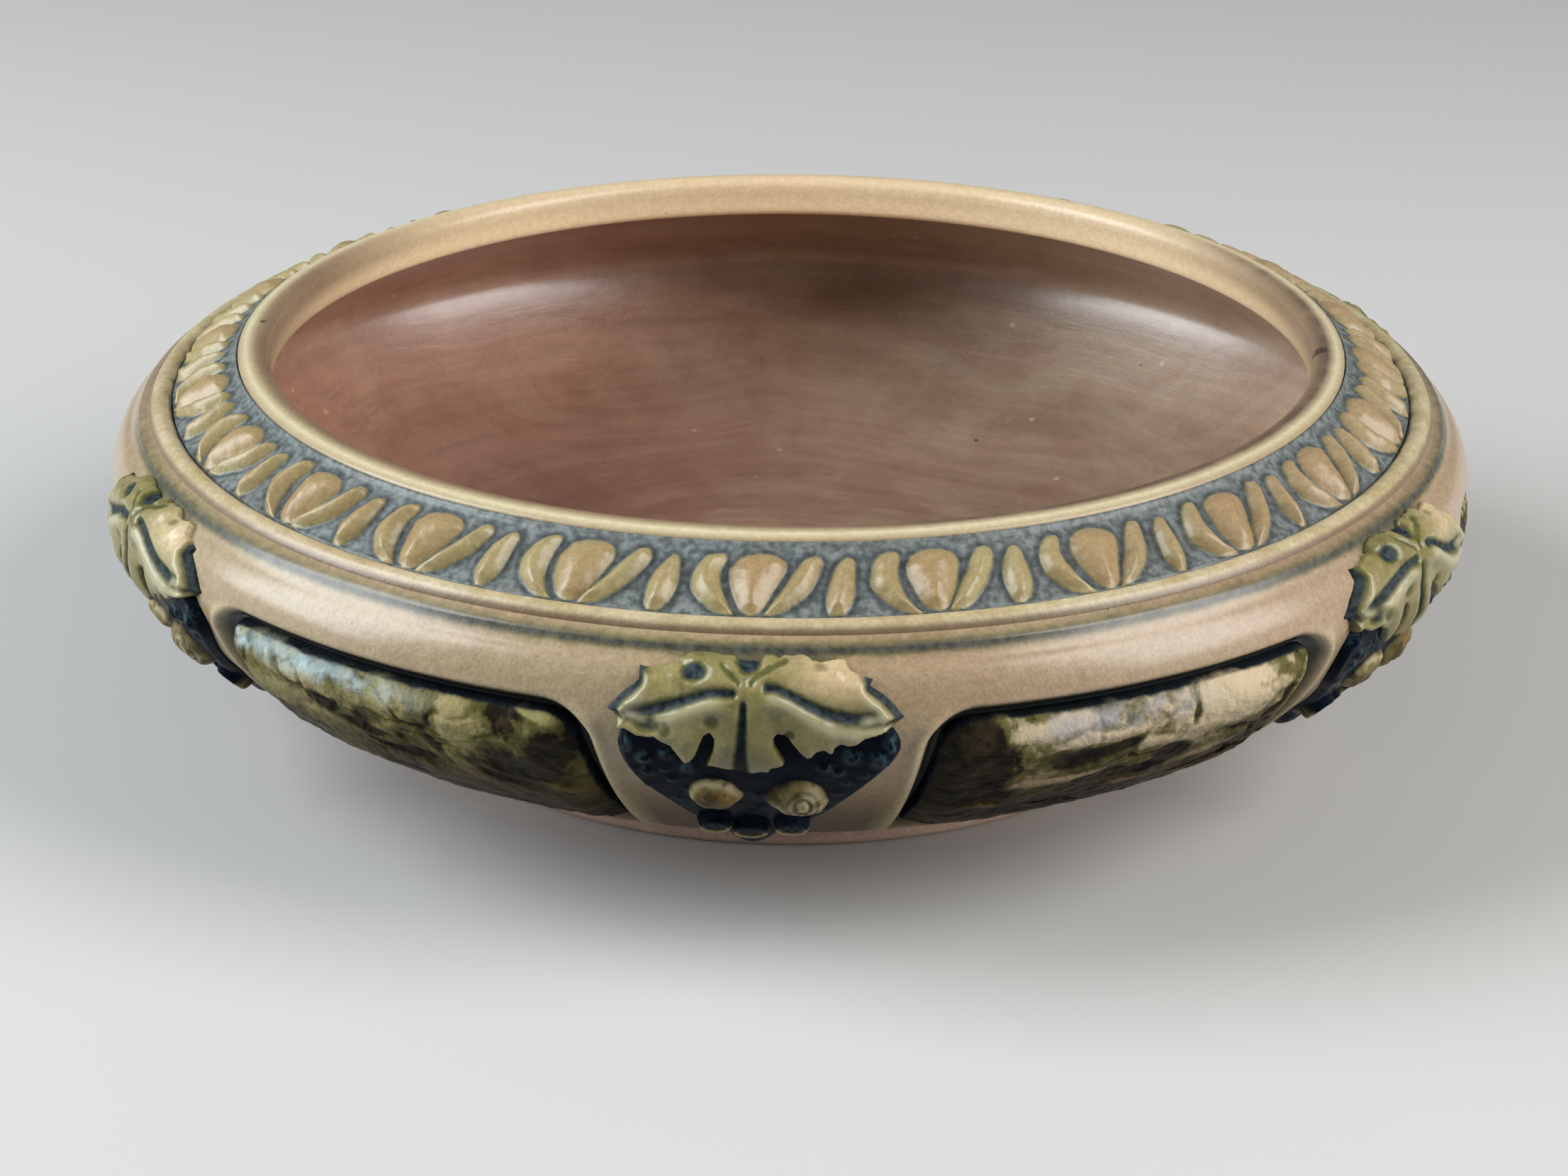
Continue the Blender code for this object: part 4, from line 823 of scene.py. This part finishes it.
for number in range(SPRIGS):
    # The front cluster's grapes lie where they are listed, and those of the others are strewn about there
    draw = np.random.default_rng(300 + number)
    strewn = draw.normal(0, 0.001 if number == 0 else 0.4, (len(GRAPES), 3)) * (1, 1, 0.2)
    grapes = np.array(GRAPES) + strewn
    away_x, away_y, size = grape_x[..., None] - grapes[:, 0], grape_y[..., None] - grapes[:, 1], grapes[:, 2]
    balls = 1.5 + 0.75 * size * hump(np.hypot(away_x, away_y) / size, 0.9)
    balls = balls * soft(mound_inside, -0.4, 1.4)[..., None]
    # A soft maximum: the logarithm of the sum of the powers of the heights
    lift = np.log(np.exp(4 * mound) + np.exp(4 * balls).sum(-1)) / 4 - 0.75
    lift = np.where(mound_inside > -0.2, np.maximum(lift, 0.4), -1.2)
    rim, hollow, fruit_mask, pale = (0 * lift for _ in range(4))
    # A painted highlight: a pale ring on each large grape, and a fainter one on the small ones
    glint = hump(np.hypot(away_x + 0.2, (away_y - 0.2) * 0.8) / size - 0.35, 0.28)
    crest = (glint * (0.25 + 0.75 * (size > 1.75))).max(-1)
    for x, y, reach in RIMS:
        gone = np.hypot(grape_x - x, (grape_y - y) * 0.9) / reach
        strokes = 0.2 * np.cos((grape_x - x) * 4.2) * soft(1 - gone, 0.2, 0.5)
        dome = 2.3 + 0.7 * np.sqrt(np.clip(1 - gone**2, 0, None)) + strokes + 0.5 * hump(gone - 0.84, 0.12)
        lift = np.where(gone < 1, np.maximum(lift, dome), lift)
        rim = np.maximum(rim, hump(gone - 0.84, 0.12) * soft(y - grape_y, -0.8, 0.6))
    for x, y, half, length, rise in FRUITS:
        gone = np.hypot((grape_x - x) / half, (grape_y - y) / length)
        gone = gone + 0.12 * pressed(grape_x, grape_y, 3.5, 50 + number, 2)
        dome = 0.8 + (rise - 0.8) * np.sqrt(np.clip(1 - gone**2, 0, None))
        dome = dome + 0.5 * pressed(grape_x, grape_y, 2.6, 70 + number, 2)
        # The right fruit has two cut circles round its tip, and the left one a shallow cup
        if x > 0:
            tip = np.hypot(grape_x - x - 0.7, (grape_y - y - 0.7) * 0.8)
            circles = hump(tip - 1.3, 0.35) + 0.8 * hump(tip - 2.4, 0.4)
            dome = dome - 0.32 * circles - 0.25 * hump(tip, 0.4)
            hollow = np.maximum(hollow, 0.6 * circles * (gone < 1))
            pale = np.maximum(pale, soft(1.1 - gone, 0, 0.6) * soft(grape_x - grape_y, -49, -44))
            hollow = np.maximum(hollow, 0.6 * (gone < 1) * soft(grape_y - grape_x, 47, 50.5))
        else:
            cup = hump(np.hypot((grape_x - x + 1.1) / 2.1, (grape_y - y + 0.6) / 2.0), 0.85)
            dome = dome - 0.5 * cup
            hollow = np.maximum(hollow, cup * (gone < 1))
            pale = np.maximum(pale, hump(gone - 0.85, 0.1) * 0.8)
        lift = np.where(gone < 1, np.maximum(lift, dome), lift)
        fruit_mask = np.maximum(fruit_mask, soft(gone, 1.02, 0.92))
    lift = lift + 0.07 * pressed(grape_x, grape_y, 1.5, 40 + number, 2)
    lift = lift * inset - 1.2 * (1 - inset)
    angle = number * SECTOR + grape_x / wall_radius(grape_y)
    tones = {"crest": crest, "rim": rim, "fruit": fruit_mask, "hollow": hollow, "pale": pale}
    cluster = skin(
        f"grapes_{number + 1}", on_wall(angle, grape_y, lift), ring=False, keep=mound_inside > -0.8,
        flat=(angle, grape_y), under=in_the_wall, tones=tones,
    )
    cluster.data.materials.append(grape_glaze)
    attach(cluster, "root")
    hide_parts(f"grape_cluster_{number + 1}")

# Vine leaves. A broad lobed leaf lies over the top of each cluster, bevelled at its sides and puffed between
# its veins. Its olive glaze is slate in the veins, pits and bevels, and pale on the ridges, where the glaze
# breaks and a highlight is painted over it.
LEAF = [
    (-3.2, 76.1), (-5.4, 76.1), (-7.4, 76.6), (-9.4, 76.7), (-11.0, 76.3), (-11.8, 75.6), (-12.6, 75.5),
    (-12.2, 75.0), (-13.5, 75.0), (-14.7, 74.4), (-16.9, 74.0), (-18.1, 74.1), (-18.8, 74.4),
    (-19.0, 72.9), (-19.0, 71.9), (-20.2, 70.8), (-21.8, 69.5), (-23.1, 67.9), (-24.3, 66.7),
    (-22.9, 66.2), (-22.1, 65.2), (-22.1, 64.0), (-20.7, 64.3), (-19.6, 63.9), (-18.7, 63.5),
    (-17.4, 63.5), (-15.9, 63.7), (-14.8, 63.0), (-13.5, 62.5), (-12.7, 61.3), (-11.9, 59.9),
    (-11.2, 59.0), (-10.1, 59.7), (-9.3, 61.0), (-8.6, 62.9), (-8.0, 64.2), (-7.2, 64.6), (-6.7, 64.0),
    (-6.8, 62.7), (-7.3, 61.0), (-7.8, 59.7), (-8.1, 58.9), (-6.9, 59.0), (-5.6, 58.6), (-4.0, 57.8),
    (-2.3, 56.7), (-0.8, 57.1), (0.7, 58.0), (2.1, 57.9), (2.5, 58.8), (3.6, 59.2), (4.6, 59.8),
    (4.3, 60.7), (3.7, 61.9), (3.0, 63.1), (2.8, 64.1), (3.3, 64.7), (4.2, 64.6), (5.1, 63.9),
    (6.1, 62.8), (6.9, 61.8), (7.9, 60.9), (8.8, 61.3), (9.5, 62.2), (10.5, 62.4), (11.3, 61.8),
    (12.1, 61.9), (12.4, 62.9), (13.1, 63.4), (14.4, 63.1), (15.6, 63.3), (16.9, 64.1), (18.6, 64.4),
    (20.2, 64.8), (21.9, 65.5), (23.6, 66.5), (22.8, 67.3), (22.0, 68.4), (20.9, 69.6), (20.0, 70.4),
    (18.9, 71.1), (17.9, 71.8), (18.4, 72.9), (17.1, 73.2), (15.8, 73.6), (14.8, 74.0), (14.2, 74.7),
    (13.8, 75.8), (12.4, 75.9), (11.1, 75.6), (9.8, 75.4), (8.7, 75.6), (8.0, 76.2), (6.9, 76.7),
    (5.4, 76.4), (4.0, 76.5), (3.3, 76.0), (2.3, 76.5), (1.0, 76.3), (0.2, 75.5), (-0.4, 75.9),
    (-2.3, 75.9),
]
# A vein: its line, its half width at the hub and at its end, its depth and how dark it is
LEFT_VEIN = [(-3.6, 70.5), (-6.7, 70.5), (-8.3, 70.2), (-12.7, 68.8), (-17.1, 67.5), (-20.1, 67.0)]
RIGHT_VEIN = [(1.6, 71.3), (2.9, 71.3), (5.2, 70.5), (8.5, 68.9), (11.8, 67.6), (15.8, 66.9), (18.0, 67.0)]
VEINS = [
    (LEFT_VEIN, 0.7, 1.3, 0.9, 1.0),
    (RIGHT_VEIN, 0.7, 1.25, 0.9, 1.0),
    ([(-2.0, 69.0), (-2.1, 66.3), (-2.3, 63.3), (-2.4, 60.0), (-2.4, 57.0)], 0.6, 1.7, 1.0, 1.0),
    ([(-2.8, 71.8), (-3.6, 72.4), (-4.6, 73.2), (-5.5, 74.0)], 0.5, 0.6, 0.45, 0.5),
    ([(-0.9, 71.9), (-0.1, 72.7), (1.1, 73.4), (2.6, 74.1), (4.3, 74.9)], 0.6, 0.7, 0.5, 0.6),
]
# A ridge stands along the lower side of each long vein
RIDGES = [
    [(-6.1, 69.3), (-8.3, 68.7), (-10.4, 68.0), (-12.6, 67.2), (-14.8, 66.1), (-15.8, 65.4)],
    [(2.6, 69.9), (5.2, 69.2), (7.4, 67.9), (9.6, 66.6), (12.0, 65.6), (14.5, 65.1), (18.8, 65.5)],
]
# A pit: its place, its reach both ways, its depth and how dark it is
PITS = [
    (-9.8, 73.1, 2.3, 1.4, 0.6, 0.95), (-1.4, 74.9, 2.1, 2.1, 1.3, 1.0), (-6.9, 66.6, 1.6, 1.1, 0.4, 0.5),
    (5.2, 64.9, 1.0, 0.8, 0.4, 0.6), (9.9, 74.2, 1.3, 0.9, 0.3, 0.4), (-17.0, 65.6, 2.4, 1.2, 0.7, 0.8),
    (2.8, 67.9, 1.8, 1.0, 0.2, 0.3), (-14.2, 65.2, 1.3, 1.1, 0.4, 0.6),
]


def line_distance(x, y, line):
    """How far points lie from an open line of straight stretches."""
    a = np.array(line, float)
    side = a[1:] - a[:-1]
    away = np.stack([x.ravel(), y.ravel()], -1)[:, None] - a[None, :-1]
    share = np.clip((away * side).sum(-1) / (side**2).sum(-1), 0, 1)
    return np.sqrt(((away - share[..., None] * side) ** 2).sum(-1).min(1)).reshape(x.shape)


leaf_glaze, g = new_glaze("leaf_glaze")
green = g.cloud(9, 4, distortion=0.4).between(0.3, 0.7).mix((0.27, 0.25, 0.085), (0.40, 0.345, 0.15))
green = (g.tone("dim") * 0.9).mix(green, green.tint((0.55, 0.57, 0.45)))
blotch = g.cloud(3.5, 4, g.place(shift=(0.1, 0.2, 0.3))).between(0.52, 0.75)
green = (blotch * 0.8).mix(green, (0.15, 0.145, 0.055))
green = (g.tone("warm") * 0.85).mix(green, (0.77, 0.62, 0.37))
green = fired(g, green)
ragged = g.tone("pool") + (g.cloud(1.6, 3) - 0.5) * 0.35
green = ragged.between(0.15, 0.5).mix(green, green.tint((0.42, 0.48, 0.36)))
slate = g.cloud(1.2, 3).between(0.3, 0.7).mix((0.010, 0.017, 0.022), (0.05, 0.07, 0.08))
slate = g.tone("ink").mix(slate, (0.006, 0.009, 0.012))
green = ragged.between(0.5, 0.85).mix(green, slate)
# Painted highlight: pale on the ridges and the bevels' inner crests, over the glaze's own breaking there
green = (g.tone("crest") * 0.55).mix(green, (0.60, 0.56, 0.36))
pooled = ragged.between(0.3, 0.7)
fire(g, green, 0.30 + 0.08 * g.cloud(3, 2) + pooled * 0.3, orange_peel(g), 0.16, 0.75 - pooled * 0.75, 0.12)
leaf_x, leaf_y = np.meshgrid(np.linspace(-25.4, 24.6, 250), np.linspace(77.6, 55.6, 112))
leaf_inside = inside_distance(leaf_x, leaf_y, LEAF)
hub_distance = np.hypot(leaf_x + 1.8, (leaf_y - 70.8) * 1.3)
bevelled = soft(np.abs(leaf_x + 0.5), 15.5, 18.0) * soft(leaf_y, 64.8, 66.6)
topping = soft(leaf_y + 0.1 * np.abs(leaf_x), 71.5, 75.0) * (1 - bevelled)
edge = soft(leaf_inside, -0.35, 0.35)
puff = 1.5 + 1.1 * (1 - np.exp(-np.clip(leaf_inside, 0, None) / 1.6)) + 1.0 * hump(hub_distance, 9)
hang = 1.0 * soft(64.5 - leaf_y, -2.5, 2.5)
form = puff + hang + 0.5 * bevelled * hump(leaf_inside - 2.4, 0.9)
groove, dark, crest = (0 * form for _ in range(3))
for line, wide_hub, wide_end, deep, ink in VEINS:
    away = line_distance(leaf_x, leaf_y, line)
    far = np.hypot(leaf_x - line[0][0], leaf_y - line[0][1]) / np.hypot(*(np.array(line[-1]) - line[0]))
    wide = wide_hub + (wide_end - wide_hub) * np.clip(far, 0, 1)
    cut = hump(away, wide)
    groove, dark = np.maximum(groove, deep * cut), np.maximum(dark, ink * cut)
for line in RIDGES:
    ridge = hump(line_distance(leaf_x, leaf_y, line), 1.8)
    form, crest = form + 0.7 * ridge, np.maximum(crest, ridge**3)
form = form - groove
for x, y, a, b, deep, ink in PITS:
    pit = np.exp(-((np.hypot((leaf_x - x) / a, (leaf_y - y) / b)) ** 4))
    form, dark = form - deep * pit, np.maximum(dark, ink * pit)
slope_dark = 0.85 * bevelled * (1 - soft(leaf_inside, 1.0, 2.0))
low_dark = 0.6 * (1 - soft(leaf_inside, -0.1, 0.6)) * soft(-leaf_y, -72, -62)
crest = np.maximum(crest * (1 - dark), bevelled * hump(leaf_inside - 2.5, 0.8))
warm = soft(leaf_x, 2, 12) * soft(leaf_y, 68, 72)
tones = {"pool": np.maximum(dark, np.maximum(slope_dark, low_dark)), "crest": crest, "warm": warm}
tones["ink"] = soft(-leaf_y, -68, -62)
tones["dim"] = hump(np.hypot((leaf_x + 1.5) / 1.3, leaf_y - 60.5), 6.0)
# The six leaves have one form, and each its own unevenness and its own place round the wall
for number in range(SPRIGS):
    lift = form + 0.12 * pressed(leaf_x, leaf_y, 2.2, 60 + number, 2)
    lift = lift * (1 - 0.75 * bevelled * (1 - soft(leaf_inside, 0.1, 2.1)))
    lift = lift * (1 - 0.3 * topping * (1 - soft(leaf_inside, 0.0, 3.0)))
    lift = lift * edge - 1.3 * (1 - edge)
    angle = number * SECTOR + leaf_x / wall_radius(leaf_y)
    leaf = skin(
        f"leaf_{number + 1}", on_wall(angle, leaf_y, lift), ring=False, keep=leaf_inside > -0.6,
        flat=(angle, leaf_y), under=in_the_wall, tones=tones,
    )
    leaf.data.materials.append(leaf_glaze)
    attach(leaf, "root")
    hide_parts(f"vine_leaf_{number + 1}")

# Floor, lights and camera. A plain pale floor, a broad soft lamp high on each side, and the camera where the
# photograph was taken.
floor = bpy.data.objects.new("floor", bpy.data.meshes.new("floor"))
floor.data.from_pydata([(-4, -4, 0), (4, -4, 0), (4, 4, 0), (-4, 4, 0)], [], [(0, 1, 2, 3)])
bpy.context.scene.collection.objects.link(floor)
paper = bpy.data.materials.new("pale_floor")
paper.use_nodes = True
g = Flow(paper.node_tree)
# The floor is pale where it is seen or mirrored, and grey for the light that it throws back on the bowl
seen = g.add("LightPath", output="Is Camera Ray")
for kind in ("Glossy", "Transmission"):
    seen = g.maths("MAXIMUM", seen, g.add("LightPath", output=f"Is {kind} Ray"))
floor_grey = seen.mix((0.22, 0.22, 0.22), (0.62, 0.62, 0.61))
floor_shader = paper.node_tree.nodes["Principled BSDF"]
paper.node_tree.links.new(floor_grey.socket, floor_shader.inputs["Base Color"])
floor_shader.inputs["Roughness"].default_value = 0.9
floor.data.materials.append(paper)


# Both lamps stand this far from the bowl and this high, and are so wide and tall
LAMP_DISTANCE, LAMP_ELEVATION, LAMP_WIDTH, LAMP_HEIGHT = 1.3, radians(32), 0.75, 1.15


def lamp(name, azimuth, power, colour):
    """A soft rectangular lamp so many degrees round from the front, to the right, that faces the bowl."""
    light = bpy.data.lights.new(name, "AREA")
    light.shape, light.size, light.size_y = "RECTANGLE", LAMP_WIDTH, LAMP_HEIGHT
    light.energy, light.color = power, colour
    lit = bpy.data.objects.new(name, light)
    turn, level = radians(azimuth), LAMP_DISTANCE * cos(LAMP_ELEVATION)
    spot = Vector((level * sin(turn), -level * cos(turn), LAMP_DISTANCE * sin(LAMP_ELEVATION)))
    lit.matrix_world = Matrix.Translation(spot) @ spot.to_track_quat("Z", "Y").to_matrix().to_4x4()
    bpy.context.scene.collection.objects.link(lit)


lamp("lamp_right", 70, 18, (1.0, 0.98, 0.96))
lamp("lamp_left", -80, 22, (0.93, 0.97, 1.0))
world = bpy.data.worlds.new("studio")
world.use_nodes = True
world.node_tree.nodes["Background"].inputs["Color"].default_value = (1, 1, 1, 1)
world.node_tree.nodes["Background"].inputs["Strength"].default_value = 0.11
bpy.context.scene.world = world
bpy.context.scene.view_settings.view_transform = "Standard"

# The photograph is so many pixels wide, and the camera's focal length is given in them too
PHOTO_WIDTH, FOCAL, SENSOR = 2212, 4926.84, 36
DISTANCE, ELEVATION = 0.686075, radians(24.5786)
YAW, PITCH, ROLL, ROUND_TURN = radians(-0.09513), radians(-1.35906), radians(0.38456), radians(2.24)
eye = Vector((0, -cos(ELEVATION) * DISTANCE, sin(ELEVATION) * DISTANCE))
dip = ELEVATION + PITCH
ahead = Vector((sin(YAW) * cos(dip), cos(YAW) * cos(dip), -sin(dip)))
right = ahead.cross(Vector((0, 0, 1))).normalized()
top = right.cross(ahead)
right, top = cos(ROLL) * right + sin(ROLL) * top, cos(ROLL) * top - sin(ROLL) * right
frame_of_camera = Matrix([(*axis, 0) for axis in (right, top, -ahead)] + [(0, 0, 0, 1)]).transposed()
camera = bpy.data.objects.new("camera", bpy.data.cameras.new("camera"))
camera.data.sensor_width = SENSOR
camera.data.lens = SENSOR * FOCAL / PHOTO_WIDTH
camera.data.clip_start, camera.data.clip_end = 0.05, 20
camera.matrix_world = Matrix.Rotation(ROUND_TURN, 4, "Z") @ Matrix.Translation(eye) @ frame_of_camera
bpy.context.scene.collection.objects.link(camera)
bpy.context.scene.camera = camera
